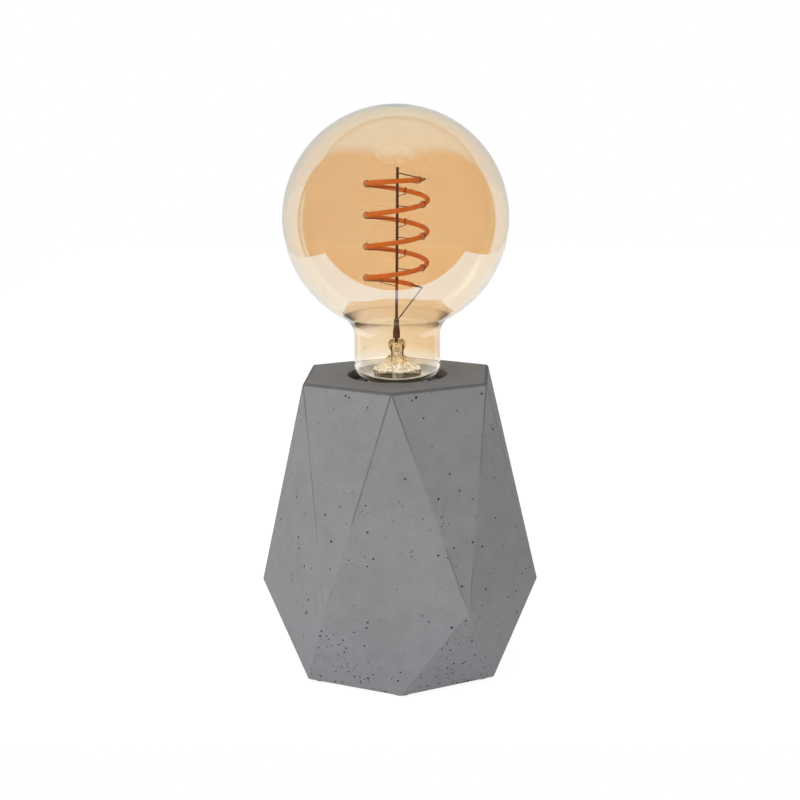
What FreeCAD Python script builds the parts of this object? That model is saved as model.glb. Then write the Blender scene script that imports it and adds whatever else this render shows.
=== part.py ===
import FreeCAD, Part
import math
import os

from FreeCAD import Placement, Rotation, Vector

# Concrete table lamp. A faceted concrete base holds a screw lampholder in its top, and a
# large globe lamp with a spiral filament stands in the holder.
# Millimetres, Z up. The origin is the middle of the base on the table, and -Y is the front.

# Faceted casting: a six-sided foot and top, with a six-sided waist turned by half a side.
# The mould's foot and top are each turned a little further, as the real casting's are.
side_count = 6
top_corner_radius = 44.05
waist_corner_radius = 59.5
foot_corner_radius = 45.65
body_height = 127.9
waist_height = 37.8
top_turn_deg = -1.75
foot_turn_deg = 1.9
edge_round = 1.3
mould_draft_deg = 0.5

# Round recess in the top that hides the lampholder
recess_clearance = 1.25
recess_mouth_round = 0.6
holder_rim_drop = 3.4
web_thickness = 10.0
web_hole_clearance = 0.35

# Wiring cavity, open below, with a rebate for the cover
foot_wall = 6.0
rebate_ledge = 8.9
rebate_depth = 3.0

# Foot pads, between the rebate and the corners of the foot
pad_radius = 4.0
pad_thickness = 2.5
pad_proud = 1.0
pad_chamfer = 0.5
pad_clearance = 0.2
pad_rim = 0.8

# Bottom cover, its screws and the inserts cast in the concrete
cover_thickness = 2.4
cover_clearance = 0.4
cover_edge_chamfer = 0.4
cover_screw_count = 3
cover_screw_radius = 1.5
cover_screw_length = 8.0
cover_screw_head_radius = 2.75
cover_screw_head_height = 1.3
cover_screw_seat = 1.0
screw_clearance = 0.3
thread_clearance = 0.05
insert_wall = 0.8
insert_length = 7.0

# Screw drive slots
drive_width = 0.8
drive_depth_share = 0.55

# Cable inlet at the back
inlet_height = 18.0
inlet_bore_radius = 4.5
grommet_wall = 1.1
grommet_lip = 2.0
grommet_flange_thickness = 1.2
grommet_length = 12.0
inlet_recess_clearance = 0.4

# Threaded nipple, washer and nut that fix the lampholder to the web
nipple_radius = 4.95
nipple_wall = 1.05
nipple_below_nut = 2.3
washer_width = 5.7
washer_thickness = 1.2
nut_wall = 2.05
nut_thickness = 4.0
nut_chamfer = 0.6

# Lampholder, two halves of moulded plastic
holder_height = 56.0
holder_around_sleeve = 6.0
holder_wall = 2.0
boss_wall = 3.05
boss_height = 6.5
dome_height = 7.0
spigot_height = 7.0
spigot_wall = 1.7
spigot_clearance = 0.2
skirt_foot_wall = 2.25
skirt_lip_thickness = 1.6
skirt_lip_clearance = 1.1
skirt_rib_height = 1.6
skirt_rib_overlap = 2.0
skirt_edge_round = 0.8
grub_radius = 1.5
grub_sink = 0.3
grub_height = 3.2

# Ceramic contact carrier
carrier_flange_thickness = 2.5
carrier_depth = 8.0
carrier_clearance = 0.3
terminal_width = 7.0
terminal_length = 6.2
terminal_height = 5.5
terminal_pocket_clearance = 0.3
terminal_screw_radius = 1.5
terminal_screw_head_radius = 2.5
terminal_screw_head_height = 0.9
terminal_hole_radius = 0.8
terminal_hole_inset = 1.3
terminal_hole_depth = 4.6

# Threaded sleeve of the holder and threaded cap of the lamp: knuckle thread, 7 to the inch
thread_pitch = 3.629
thread_depth = 1.03
thread_form_radius = 1.03
thread_crest_gap = 0.22
thread_root_gap = 0.27
sleeve_wall = 0.4
sleeve_rim_gap = 0.5
sleeve_thread_start = 4.6
sleeve_thread_turns = 3.75
cap_crest_radius = 13.13
cap_shell_wall = 0.4
cap_rim_step = 0.17
cap_rim_height = 2.6
cap_rim_cone = 1.6
cap_height = 22.2
cap_thread_start = 2.4
cap_thread_turns = 4.0
cap_below_rim = 0.3

# Side contact strip and the sprung centre tongue
strip_thickness = 0.45
strip_width = 5.0
strip_height = 5.5
strip_gap = 0.05
tongue_thickness = 0.5
tongue_width = 5.0
tongue_pivot_offset = 5.5
tongue_tip_offset = 3.4
tongue_rise = 1.0
tongue_tip_drop = 0.4
tongue_clearance = 0.3
tongue_recess = 0.3
tongue_swing_room = 1.2
root_length = 5.4
root_gap = 0.3
rivet_radius = 1.0
rivet_head_radius = 1.7
rivet_head_height = 0.5

# Foot of the lamp cap
insulator_drop = 1.8
insulator_foot_radius = 6.4
insulator_grip = 1.5
turning_clearance = 0.3
tip_radius = 4.7
tip_height = 0.7
tip_crown = 0.3
tip_bore_radius = 0.6

# Inner leads and the two-pole connector
lead_radius = 1.1
lead_core_radius = 0.5
lead_side_gap = 0.35
lead_end_gap = 0.4
lead_top_straight = 4.6
lead_into_nipple = 1.6
lead_wall_gap = 4.7
lead_drop_shares = [0.19, 0.46, 0.72]
lead_forward_share = 0.42
connector_side = 1.75
connector_length = 16.0
connector_head = 4.0
connector_centre_y = 3.0
connector_shoulder = 2.4
connector_wall = 1.0
connector_screw_room = 0.25
pole_height = 6.5
pole_sleeve_radius = 2.5
pole_bore_radius = 1.6
pole_sleeve_inset = 1.0
pole_screw_radius = 1.3
pole_screw_offset = 4.2
pole_screw_recess = 1.0
connector_screw_end = 0.5
lead_entry_depth = 5.0

# Globe lamp glass
globe_radius = 47.5
glass_wall = 0.8
neck_radius = 18.3
neck_straight = 11.85
neck_fillet = 8.8
shoulder_above_top = 5.0
shoulder_radius = 7.2
glass_tail_clearance = 0.65
glass_tail_length = 5.0
cement_gap = 0.05

# Glass stem and exhaust tube
pinch_top_above_top = 15.6
pinch_width = 6.6
pinch_depth = 3.6
pinch_height = 5.0
stem_waist_radius = 3.0
stem_collar_radius = 4.25
stem_wall = 0.8
stem_flare_above_cap = 8.3
stem_foot_above_cap = 0.8
flare_middle_shares = (0.34, 0.3)
exhaust_radius = 1.7
exhaust_wall = 0.6
exhaust_below_cap = 4.5

# Central post and sleeve
post_radius = 0.6
post_top_above_centre = 21.3
post_sink = 2.2
post_offset = -0.3
mount_lean_deg = 1.0
post_sleeve_radius = 1.5
post_sleeve_tip_radius = 0.95
post_sleeve_height = 8.0
fit_gap = 0.05

# Spiral filament: it descends clockwise seen from above, its first stretch nearly level
coil_radius = 12.7
coil_pitch = 13.2
coil_wire_radius = 1.0
coil_start_deg = -37.0
coil_level_deg = 143.0
coil_sweep_deg = 1343.0
coil_left_above_centre = 14.3
upper_tip_length = 2.2
lower_tip_length = 5.0
coil_tip_radius = 0.45
coil_arc_deg = 90.0
least_coil_gap = 0.4

# Support wires, with a ring round the filament at these turning angles
support_radius = 0.17
support_ring_gap = 0.18
support_ring_sweep_deg = 320.0
support_at_deg = [8.0, 143.0, 248.0, 355.0, 503.0, 608.0, 715.0, 863.0, 968.0, 1075.0, 1223.0, 1279.0]
lead_wire_radius = 0.25
upper_lead_above_centre = 19.0

# Wires inside the stem
stem_lead_radius = 0.3
stem_lead_gap = 0.35
stem_lead_sink = 2.0

# Driver in the cap
board_edge_gap = 4.2
board_thickness = 1.0
board_above_cap_foot = 6.0
board_top_gap = 2.7
capacitor_radius = 2.9
capacitor_length = 7.0
chip_width = 4.9
chip_height = 3.9
chip_thickness = 1.5
fuse_radius = 1.1
fuse_length = 3.2
fuse_wire_radius = 0.3
fuse_wire_above = 0.8
driver_lead_radius = 0.4

# Shared overrun of every cut, and the accuracy of the rounding offset
overrun = 2.0
offset_tolerance = 0.0001

# Share of the shorter run that each bend of a lead takes up, and the step of the filament's check
bend_run_share = 0.45
coil_check_step_deg = 4

# Radii worked out from the sizes above, from the thread outwards
cap_shell_radius = cap_crest_radius - thread_depth
cap_rim_radius = cap_crest_radius + cap_rim_step
sleeve_inner_radius = cap_crest_radius + thread_crest_gap
sleeve_crest_radius = cap_shell_radius + thread_root_gap
sleeve_outer_radius = sleeve_inner_radius + sleeve_wall
holder_radius = sleeve_outer_radius + holder_around_sleeve
recess_radius = holder_radius + recess_clearance
skirt_foot_radius = holder_radius - skirt_foot_wall
skirt_lip_radius = cap_rim_radius + skirt_lip_clearance
spigot_radius = skirt_foot_radius - spigot_clearance
carrier_flange_radius = skirt_foot_radius - carrier_clearance
skirt_rib_radius = carrier_flange_radius - skirt_rib_overlap
glass_tail_radius = cap_shell_radius - cap_shell_wall - glass_tail_clearance
board_width = 2 * (cap_shell_radius - cap_shell_wall - board_edge_gap)
stem_lead_spacing = 2 * (exhaust_radius + stem_lead_gap + stem_lead_radius)
support_ring_radius = coil_wire_radius + support_ring_gap + support_radius

# Radii round the nipple
nipple_bore_radius = nipple_radius - nipple_wall
web_hole_radius = nipple_radius + web_hole_clearance
washer_radius = web_hole_radius + washer_width
boss_radius = nipple_radius + boss_wall
nut_across_flats = 2 * (nipple_radius + nut_wall)
lead_spacing = 2 * (lead_radius + lead_side_gap)

# Radii in the foot, from its flats inwards
half_side_share = math.cos(math.pi / side_count)
rebate_radius = foot_corner_radius * half_side_share - foot_wall
cavity_radius = rebate_radius - rebate_ledge
cover_screw_circle = (rebate_radius + cavity_radius) / 2
pad_circle_radius = rebate_radius + pad_rim + pad_clearance + pad_radius
insert_radius = cover_screw_radius + insert_wall
grommet_flange_radius = inlet_bore_radius + grommet_lip

# Widths of the connector
connector_tower_width = 2 * (pole_sleeve_radius + connector_wall)
connector_height = pole_height + pole_sleeve_radius + connector_head
pole_spacing = connector_tower_width + 2 * (cover_screw_radius + connector_screw_room)
connector_width = pole_spacing + connector_tower_width + 2 * connector_side

# Heights worked out from the sizes above, from the top of the casting downwards
foot_z = pad_proud
waist_z = foot_z + waist_height
top_z = foot_z + body_height
rim_z = top_z - holder_rim_drop
holder_z = rim_z - holder_height
web_z = holder_z - web_thickness
nut_z = web_z - washer_thickness - nut_thickness
nipple_z = nut_z - nipple_below_nut
nipple_top_z = holder_z + boss_height
cover_top_z = foot_z + rebate_depth
cover_z = cover_top_z - cover_thickness

# Heights of the lamp's cap, of the spring tongue under its tip and of what carries the tongue
cap_top_z = rim_z - cap_below_rim
cap_z = cap_top_z - cap_height
insulator_z = cap_z - insulator_drop
tip_z = insulator_z - tip_height
tongue_top_z = tip_z - tongue_clearance
pivot_z = tongue_top_z - tongue_rise
root_z = pivot_z - tongue_thickness
carrier_top_z = pivot_z + tongue_recess
spigot_top_z = carrier_top_z - carrier_flange_thickness
carrier_z = spigot_top_z - carrier_depth
holder_joint_z = spigot_top_z - spigot_height
sleeve_top_z = cap_top_z - cap_rim_height - sleeve_rim_gap

# Heights of the glass, the stem and the driver board
shoulder_z = top_z + shoulder_above_top
neck_top_z = shoulder_z + neck_straight
neck_fillet_drop = math.sqrt((globe_radius + neck_fillet) ** 2 - (neck_radius + neck_fillet) ** 2)
globe_z = neck_top_z + neck_fillet_drop
pinch_top_z = top_z + pinch_top_above_top
flare_z = cap_top_z + stem_flare_above_cap
exhaust_z = cap_top_z - exhaust_below_cap
board_z = cap_z + board_above_cap_foot
board_top_z = exhaust_z - board_top_gap
board_height = board_top_z - board_z


def polar(radius, degrees, height=0):
    turn = math.radians(degrees)
    return Vector(radius * math.cos(turn), radius * math.sin(turn), height)


def rod(radius, low, high, x=0, y=0):
    return Part.makeCylinder(radius, high - low, Vector(x, y, low))


def rod_between(radius, start, end):
    return Part.makeCylinder(radius, (end - start).Length, start, end - start)


def block(x0, x1, y0, y1, z0, z1):
    return Part.makeBox(x1 - x0, y1 - y0, z1 - z0, Vector(x0, y0, z0))


def turned(outline):
    """Turns an outline of (radius, height) points about Z. A pair of points is an arc's middle and end."""
    edges = []
    here = outline[0]
    for step in outline[1:] + [outline[0]]:
        arc = isinstance(step[0], tuple)
        end = step[1] if arc else step
        start_point = Vector(here[0], 0, here[1])
        end_point = Vector(end[0], 0, end[1])
        if arc:
            middle = Vector(step[0][0], 0, step[0][1])
            edges.append(Part.Arc(start_point, middle, end_point).toShape())
        elif (end_point - start_point).Length > 0:
            edges.append(Part.LineSegment(start_point, end_point).toShape())
        here = end
    face = Part.Face(Part.Wire(edges))
    return face.revolve(Vector(0, 0, 0), Vector(0, 0, 1), 360)


def on_circle(centre, radius, degrees):
    turn = math.radians(degrees)
    return (centre[0] + radius * math.cos(turn), centre[1] + radius * math.sin(turn))


def arc_step(centre, radius, start_deg, end_deg):
    middle = on_circle(centre, radius, (start_deg + end_deg) / 2)
    return (middle, on_circle(centre, radius, end_deg))


def placed(shape, base, direction=Vector(0, 0, 1)):
    copy = shape.copy()
    copy.Placement = Placement(base, Rotation(Vector(0, 0, 1), direction))
    return copy


def slotted_screw(shank_radius, shank_length, head_radius, head_height):
    """A pan-head screw whose head's underside is at the origin and whose shank runs up Z."""
    head = Part.makeCylinder(head_radius, head_height, Vector(0, 0, -head_height))
    rim = [edge for edge in head.Edges if edge.BoundBox.ZMax < -head_height / 2]
    head = head.makeFillet(head_height / 3, [edge for edge in rim if len(edge.Vertexes) == 1])
    slot_depth = head_height * drive_depth_share
    slot = block(
        -head_radius - overrun, head_radius + overrun,
        -drive_width / 2, drive_width / 2,
        -head_height - overrun, slot_depth - head_height,
    )
    shank = rod(shank_radius, 0, shank_length)
    return head.fuse(shank).removeSplitter().cut(slot)


def hexagon_prism(across_flats, low, high):
    corner = across_flats / 2 / math.cos(math.radians(30))
    points = [polar(corner, 60 * k, low) for k in range(6)]
    face = Part.Face(Part.makePolygon(points + points[:1]))
    return face.extrude(Vector(0, 0, high - low))


def tangent_arc(start, tangent, end):
    """The arc from start to end that leaves start along tangent."""
    chord = end - start
    along = Vector(chord).normalize()
    direction = Vector(tangent).normalize()
    sideways = direction - along * direction.dot(along)
    half_turn = math.atan2(sideways.Length, direction.dot(along))
    rise = chord.Length / 2 * math.tan(half_turn / 2)
    middle = start + chord / 2 + sideways.normalize() * rise
    return Part.Arc(start, middle, end).toShape()


def biarc(start, start_tangent, end, end_tangent):
    """Two arcs in space that join two points along their tangents."""
    chord = end - start
    both = start_tangent + end_tangent
    squared = 2 - 2 * start_tangent.dot(end_tangent)
    half_linear = chord.dot(both)
    root = math.sqrt(half_linear ** 2 + squared * chord.dot(chord))
    leg = (root - half_linear) / squared
    joint = (start + start_tangent * leg + end - end_tangent * leg) / 2
    second_tangent = (end - end_tangent * leg) - (start + start_tangent * leg)
    return [
        tangent_arc(start, start_tangent, joint),
        tangent_arc(joint, second_tangent, end),
    ]


def swept(edges, radius):
    """A round tube along edges that meet smoothly."""
    path = Part.Wire(edges)
    first = edges[0]
    start = first.valueAt(first.FirstParameter)
    along = first.tangentAt(first.FirstParameter)
    section = Part.Wire(Part.makeCircle(radius, start, along))
    return path.makePipeShell([section], True, False)


def rounded_route(points, name, radius):
    """Straight runs joined by tangent arcs, each as large as its two runs allow."""
    edges = []
    here = points[0]
    tightest = None
    for before, corner, after in zip(points, points[1:], points[2:]):
        back = before - corner
        ahead = after - corner
        turn = math.pi - back.getAngle(ahead)
        trim = bend_run_share * min(back.Length, ahead.Length)
        bend = trim / math.tan(turn / 2)
        tightest = bend if tightest is None else min(tightest, bend)
        arc_start = corner + Vector(back).normalize() * trim
        arc_end = corner + Vector(ahead).normalize() * trim
        edges.append(Part.LineSegment(here, arc_start).toShape())
        edges.append(tangent_arc(arc_start, corner - before, arc_end))
        here = arc_end
    edges.append(Part.LineSegment(here, points[-1]).toShape())
    tube = swept(edges, radius)
    length = sum(edge.Length for edge in edges)
    share = tube.Volume / (math.pi * radius ** 2 * length)
    print(name, "length", round(length, 1), "tightest bend", round(tightest, 2), "volume", round(share, 4))
    return tube


def thread_ridge(base_radius, crest_radius, start_z, turns, start_deg):
    """One rounded helical ridge standing on a cylinder, outward or inward, right-handed."""
    side = math.copysign(1, crest_radius - base_radius)
    centre = crest_radius - side * thread_form_radius
    foot = base_radius - side * cap_shell_wall / 2
    half = math.sqrt(thread_form_radius ** 2 - (centre - foot) ** 2)
    low = Vector(foot, 0, -half)
    high = Vector(foot, 0, half)
    crest = Vector(crest_radius, 0, 0)
    profile = Part.Wire([
        Part.Arc(low, crest, high).toShape(),
        Part.LineSegment(high, low).toShape(),
    ])
    spine = Part.Wire(Part.makeHelix(thread_pitch, thread_pitch * turns, base_radius))
    ridge = spine.makePipeShell([profile], True, True)
    ridge.rotate(Vector(0, 0, 0), Vector(0, 0, 1), start_deg)
    ridge.translate(Vector(0, 0, start_z))
    return ridge


def edge_inset(lean):
    """How far a sharp corner lies outside the flat it is rounded onto, for a face that leans by lean."""
    return edge_round * math.tan(math.radians(45) - lean / 2)


def faceted_hull():
    """The casting's outer form: flat triangles between three hexagons, every edge rounded alike."""
    waist_flat = waist_corner_radius * half_side_share
    upper_lean = math.atan((waist_flat - top_corner_radius) / (body_height - waist_height))
    lower_lean = math.atan((waist_flat - foot_corner_radius) / waist_height)
    step = 360 / side_count
    top_radius = top_corner_radius - edge_inset(upper_lean)
    waist_radius = waist_corner_radius - edge_round / half_side_share
    foot_radius = foot_corner_radius - edge_inset(lower_lean)
    corners = [k * step - 90 for k in range(side_count)]
    top = [polar(top_radius, corner + top_turn_deg, top_z - edge_round) for corner in corners]
    waist = [polar(waist_radius, corner + step / 2, waist_z) for corner in corners]
    foot = [polar(foot_radius, corner + foot_turn_deg, foot_z + edge_round) for corner in corners]
    outlines = [top, foot]
    for k in range(side_count):
        after = (k + 1) % side_count
        outlines.append([top[k], waist[k - 1], waist[k]])
        outlines.append([top[k], waist[k], top[after]])
        outlines.append([foot[k], waist[k], waist[k - 1]])
        outlines.append([foot[k], foot[after], waist[k]])
    faces = [Part.Face(Part.makePolygon(points + points[:1])) for points in outlines]
    shell = Part.makeShell(faces)
    shell.sewShape()
    solid = Part.makeSolid(shell)
    if solid.Volume < 0:
        solid.reverse()
    rounded = solid.makeOffsetShape(edge_round, offset_tolerance, join=0)
    return Part.makeSolid(rounded) if rounded.ShapeType == "Shell" else rounded


def screw_places():
    step = 360 / cover_screw_count
    return [polar(cover_screw_circle, k * step - 90) for k in range(cover_screw_count)]


def pad_places():
    step = 360 / side_count
    return [polar(pad_circle_radius, k * step - 90 + foot_turn_deg) for k in range(side_count)]


def inlet_recess_y():
    """The seat of the grommet's flange: its lowest edge just covers the flange's thickness."""
    low_z = inlet_height - grommet_flange_radius - inlet_recess_clearance
    waist_flat = waist_corner_radius * half_side_share
    share = (low_z - foot_z) / waist_height
    surface = foot_corner_radius + (waist_flat - foot_corner_radius) * share
    return surface - grommet_flange_thickness


def concrete_body():
    draft = math.tan(math.radians(mould_draft_deg))
    body = faceted_hull()
    recess_depth = top_z - holder_z
    recess = Part.makeCone(
        recess_radius - draft * recess_depth, recess_radius, recess_depth, Vector(0, 0, holder_z)
    )
    body = body.cut(recess)
    cavity_depth = web_z - foot_z
    cavity = Part.makeCone(
        cavity_radius, cavity_radius - draft * cavity_depth, cavity_depth, Vector(0, 0, foot_z)
    )
    body = body.cut(cavity)
    body = body.cut(rod(web_hole_radius, web_z - overrun, holder_z + overrun))
    body = body.cut(rod(rebate_radius, foot_z - overrun, cover_top_z))
    seat_y = inlet_recess_y()
    toward_back = Vector(0, 1, 0)
    inlet = Vector(0, 0, inlet_height)
    body = body.cut(Part.makeCylinder(inlet_bore_radius, seat_y + overrun, inlet, toward_back))
    recess_reach = waist_corner_radius - seat_y
    flange_room = Part.makeCylinder(
        grommet_flange_radius + inlet_recess_clearance, recess_reach,
        Vector(0, seat_y, inlet_height), toward_back,
    )
    body = body.cut(flange_room)
    insert_top = cover_top_z + insert_length
    for place in screw_places():
        body = body.cut(rod(insert_radius, cover_top_z - overrun, insert_top, place.x, place.y))
    for place in pad_places():
        body = body.cut(rod(pad_radius + pad_clearance, foot_z - overrun, pad_thickness, place.x, place.y))
    mouth = [
        edge for edge in body.Edges
        if abs(edge.BoundBox.ZMin - top_z) < edge_round / 10
        and abs(edge.BoundBox.XMax - recess_radius) < edge_round / 10
    ]
    return body.makeFillet(recess_mouth_round, mouth)


def foot_pads():
    pads = []
    for place in pad_places():
        pad = rod(pad_radius, 0, pad_thickness, place.x, place.y)
        rim = [edge for edge in pad.Edges if edge.BoundBox.ZMax < pad_chamfer]
        pads.append(pad.makeChamfer(pad_chamfer, rim))
    return pads


def base_cover():
    radius = rebate_radius - cover_clearance
    disc = rod(radius, cover_z, cover_top_z)
    rims = [edge for edge in disc.Edges if len(edge.Vertexes) == 1 and edge.BoundBox.ZMax < cover_top_z]
    disc = disc.makeChamfer(cover_edge_chamfer, rims)
    seat_z = cover_top_z - cover_screw_seat
    above = cover_top_z + overrun
    head_room = cover_screw_head_radius + screw_clearance
    shank_room = cover_screw_radius + screw_clearance
    for place in screw_places():
        disc = disc.cut(rod(head_room, cover_z - overrun, seat_z, place.x, place.y))
        disc = disc.cut(rod(shank_room, seat_z, above, place.x, place.y))
    pilot_z = cover_z + connector_screw_end
    pilot_radius = cover_screw_radius + thread_clearance
    return disc.cut(rod(pilot_radius, pilot_z, above, 0, connector_centre_y))


def cover_screws():
    screw = slotted_screw(
        cover_screw_radius, cover_screw_length, cover_screw_head_radius, cover_screw_head_height
    )
    seat_z = cover_top_z - cover_screw_seat
    return [placed(screw, place + Vector(0, 0, seat_z)) for place in screw_places()]


def cover_inserts():
    bore = cover_screw_radius + thread_clearance
    inserts = []
    for place in screw_places():
        sleeve = rod(insert_radius, cover_top_z, cover_top_z + insert_length, place.x, place.y)
        hole_top = cover_top_z - cover_screw_seat + cover_screw_length + screw_clearance
        hole = rod(bore, cover_top_z - overrun, hole_top, place.x, place.y)
        inserts.append(sleeve.cut(hole))
    return inserts


def cable_grommet():
    seat_y = inlet_recess_y()
    toward_back = Vector(0, 1, 0)
    bush = Part.makeCylinder(
        inlet_bore_radius - fit_gap, grommet_length,
        Vector(0, seat_y - grommet_length, inlet_height), toward_back,
    )
    flange = Part.makeCylinder(
        grommet_flange_radius, grommet_flange_thickness, Vector(0, seat_y, inlet_height), toward_back
    )
    body = bush.fuse(flange).removeSplitter()
    rim = [
        edge for edge in body.Edges
        if edge.BoundBox.YMin > seat_y + grommet_flange_thickness / 2 and len(edge.Vertexes) == 1
        and edge.BoundBox.XLength > 2 * inlet_bore_radius
    ]
    body = body.makeFillet(grommet_flange_thickness / 2, rim)
    hole_radius = inlet_bore_radius - grommet_wall
    reach = grommet_length + grommet_flange_thickness + 2 * overrun
    start = Vector(0, seat_y - grommet_length - overrun, inlet_height)
    return body.cut(Part.makeCylinder(hole_radius, reach, start, toward_back))


def mounting_nipple():
    tube = rod(nipple_radius, nipple_z, nipple_top_z)
    return tube.cut(rod(nipple_bore_radius, nipple_z - overrun, nipple_top_z + overrun))


def nipple_washer():
    disc = rod(washer_radius, web_z - washer_thickness, web_z)
    return disc.cut(rod(web_hole_radius, web_z - washer_thickness - overrun, web_z + overrun))


def nipple_nut():
    high = nut_z + nut_thickness
    body = hexagon_prism(nut_across_flats, nut_z, high)
    corner = nut_across_flats / 2 / math.cos(math.radians(30))
    rounding = turned([
        (0, nut_z),
        (corner - nut_chamfer, nut_z),
        (corner, nut_z + nut_chamfer),
        (corner, high - nut_chamfer),
        (corner - nut_chamfer, high),
        (0, high),
    ])
    bore = nipple_radius + thread_clearance
    return body.common(rounding).cut(rod(bore, nut_z - overrun, high + overrun))


def holder_cap():
    bore = nipple_radius + thread_clearance
    dome_z = holder_z + boss_height
    shell_z = dome_z + dome_height
    inner = holder_radius - holder_wall
    spigot_inner = spigot_radius - spigot_wall
    body = turned([
        (bore, holder_z),
        (boss_radius, holder_z),
        (boss_radius, dome_z),
        (holder_radius, shell_z),
        (holder_radius, holder_joint_z),
        (spigot_radius, holder_joint_z),
        (spigot_radius, spigot_top_z),
        (spigot_inner, spigot_top_z),
        (spigot_inner, holder_joint_z - holder_wall),
        (inner, holder_joint_z - 2 * holder_wall),
        (inner, shell_z + holder_wall / 2),
        (boss_radius, dome_z + holder_wall),
        (bore, dome_z + holder_wall / 2),
    ])
    grub_hole = Part.makeCylinder(
        grub_radius + thread_clearance, boss_radius + overrun,
        Vector(0, 0, holder_z + grub_height), Vector(1, 0, 0),
    )
    return body.cut(grub_hole)


def nipple_grub_screw():
    start = Vector(nipple_radius + thread_clearance, 0, holder_z + grub_height)
    end_x = boss_radius - grub_sink
    grub_length = end_x - start.x
    body = Part.makeCylinder(grub_radius, grub_length, start, Vector(1, 0, 0))
    slot = block(
        end_x - grub_length * drive_depth_share / 2, end_x + overrun,
        -grub_radius - overrun, grub_radius + overrun,
        start.z - drive_width / 2, start.z + drive_width / 2,
    )
    return body.cut(slot)


def holder_skirt():
    inner = holder_radius - holder_wall
    rib_top = carrier_top_z + skirt_rib_height
    lip_z = rim_z - skirt_lip_thickness
    rounding = (holder_radius - skirt_edge_round, rim_z - skirt_edge_round)
    return turned([
        (skirt_foot_radius, holder_joint_z),
        (holder_radius, holder_joint_z),
        (holder_radius, rim_z - skirt_edge_round),
        arc_step(rounding, skirt_edge_round, 0, 90),
        (skirt_lip_radius, rim_z),
        (skirt_lip_radius, lip_z),
        (inner, lip_z),
        (inner, rib_top),
        (skirt_rib_radius, rib_top),
        (skirt_rib_radius, carrier_top_z),
        (skirt_foot_radius, carrier_top_z),
    ])


def terminal_outer_x():
    """Where the outer face of each terminal stands: just inside the side contact strip."""
    return sleeve_outer_radius + strip_gap


def terminal_top_z():
    return carrier_z + terminal_height + terminal_pocket_clearance


def contact_carrier():
    spigot_inner = spigot_radius - spigot_wall
    radius = spigot_inner - carrier_clearance
    flange = rod(carrier_flange_radius, spigot_top_z, carrier_top_z)
    body = rod(radius, carrier_z, spigot_top_z).fuse(flange).removeSplitter()
    half_width = terminal_width / 2 + terminal_pocket_clearance
    outer_x = terminal_outer_x()
    inner_x = outer_x - terminal_length - terminal_pocket_clearance
    half_strip = strip_width / 2 + terminal_pocket_clearance
    for side in (-1, 1):
        xs = sorted((side * inner_x, side * (radius + overrun)))
        pocket = block(xs[0], xs[1], -half_width, half_width, carrier_z - overrun, terminal_top_z())
        body = body.cut(pocket)
    strip_outer = outer_x + strip_thickness + strip_gap
    strip_slot = block(
        outer_x - strip_gap, strip_outer, -half_strip, half_strip, carrier_z, carrier_top_z + overrun
    )
    body = body.cut(strip_slot)
    half_tongue = tongue_width / 2 + terminal_pocket_clearance
    root_end = -tongue_pivot_offset - root_gap - root_length - terminal_pocket_clearance
    tongue_end = tongue_tip_offset + terminal_pocket_clearance
    above = carrier_top_z + overrun
    body = body.cut(block(root_end, tongue_end, -half_tongue, half_tongue, root_z, above))
    swing_start = -tongue_pivot_offset - root_gap
    swing_low = root_z - tongue_swing_room
    body = body.cut(block(swing_start, tongue_end, -half_tongue, half_tongue, swing_low, above))
    return body.cut(rod(rivet_radius + thread_clearance, carrier_z, above, rivet_place_x(), 0))


def rivet_place_x():
    return -tongue_pivot_offset - root_gap - root_length / 2 - rivet_radius / 2


def thread_sleeve():
    bore = rod(sleeve_inner_radius, carrier_top_z - overrun, sleeve_top_z + overrun)
    tube = rod(sleeve_outer_radius, carrier_top_z, sleeve_top_z).cut(bore)
    ridge = thread_ridge(
        sleeve_inner_radius, sleeve_crest_radius, carrier_top_z + sleeve_thread_start,
        sleeve_thread_turns, sleeve_start_deg(),
    )
    body = tube.fuse(ridge).removeSplitter()
    hole = Part.makeCylinder(
        rivet_radius + thread_clearance, sleeve_outer_radius + overrun,
        Vector(0, 0, side_rivet_z()), Vector(1, 0, 0),
    )
    return body.cut(hole)


def sleeve_start_deg():
    """Turns the holder's ridge so that it runs midway between the cap's ridges."""
    rise = (carrier_top_z + sleeve_thread_start) - (cap_z + cap_thread_start)
    return (rise / thread_pitch - 0.5) * 360


def side_rivet_z():
    return carrier_top_z + rivet_head_radius + strip_gap


def side_contact():
    low = carrier_z + terminal_pocket_clearance
    x = terminal_outer_x()
    half = strip_width / 2
    strip = block(x, x + strip_thickness, -half, half, low, carrier_top_z + strip_height)
    reach = x + strip_thickness + overrun
    holes = [
        (terminal_screw_radius + screw_clearance, terminal_screw_z()),
        (rivet_radius + thread_clearance, side_rivet_z()),
    ]
    for radius, z in holes:
        strip = strip.cut(Part.makeCylinder(radius, reach, Vector(0, 0, z), Vector(1, 0, 0)))
    return strip


def terminal_screw_z():
    return carrier_z + terminal_height / 2


def contact_root():
    high = root_z + tongue_thickness
    end = -tongue_pivot_offset - root_gap
    leaf = block(end - root_length, end, -tongue_width / 2, tongue_width / 2, root_z, high)
    hole = rod(rivet_radius + thread_clearance, root_z - overrun, high + overrun, rivet_place_x(), 0)
    return leaf.cut(hole)


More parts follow.
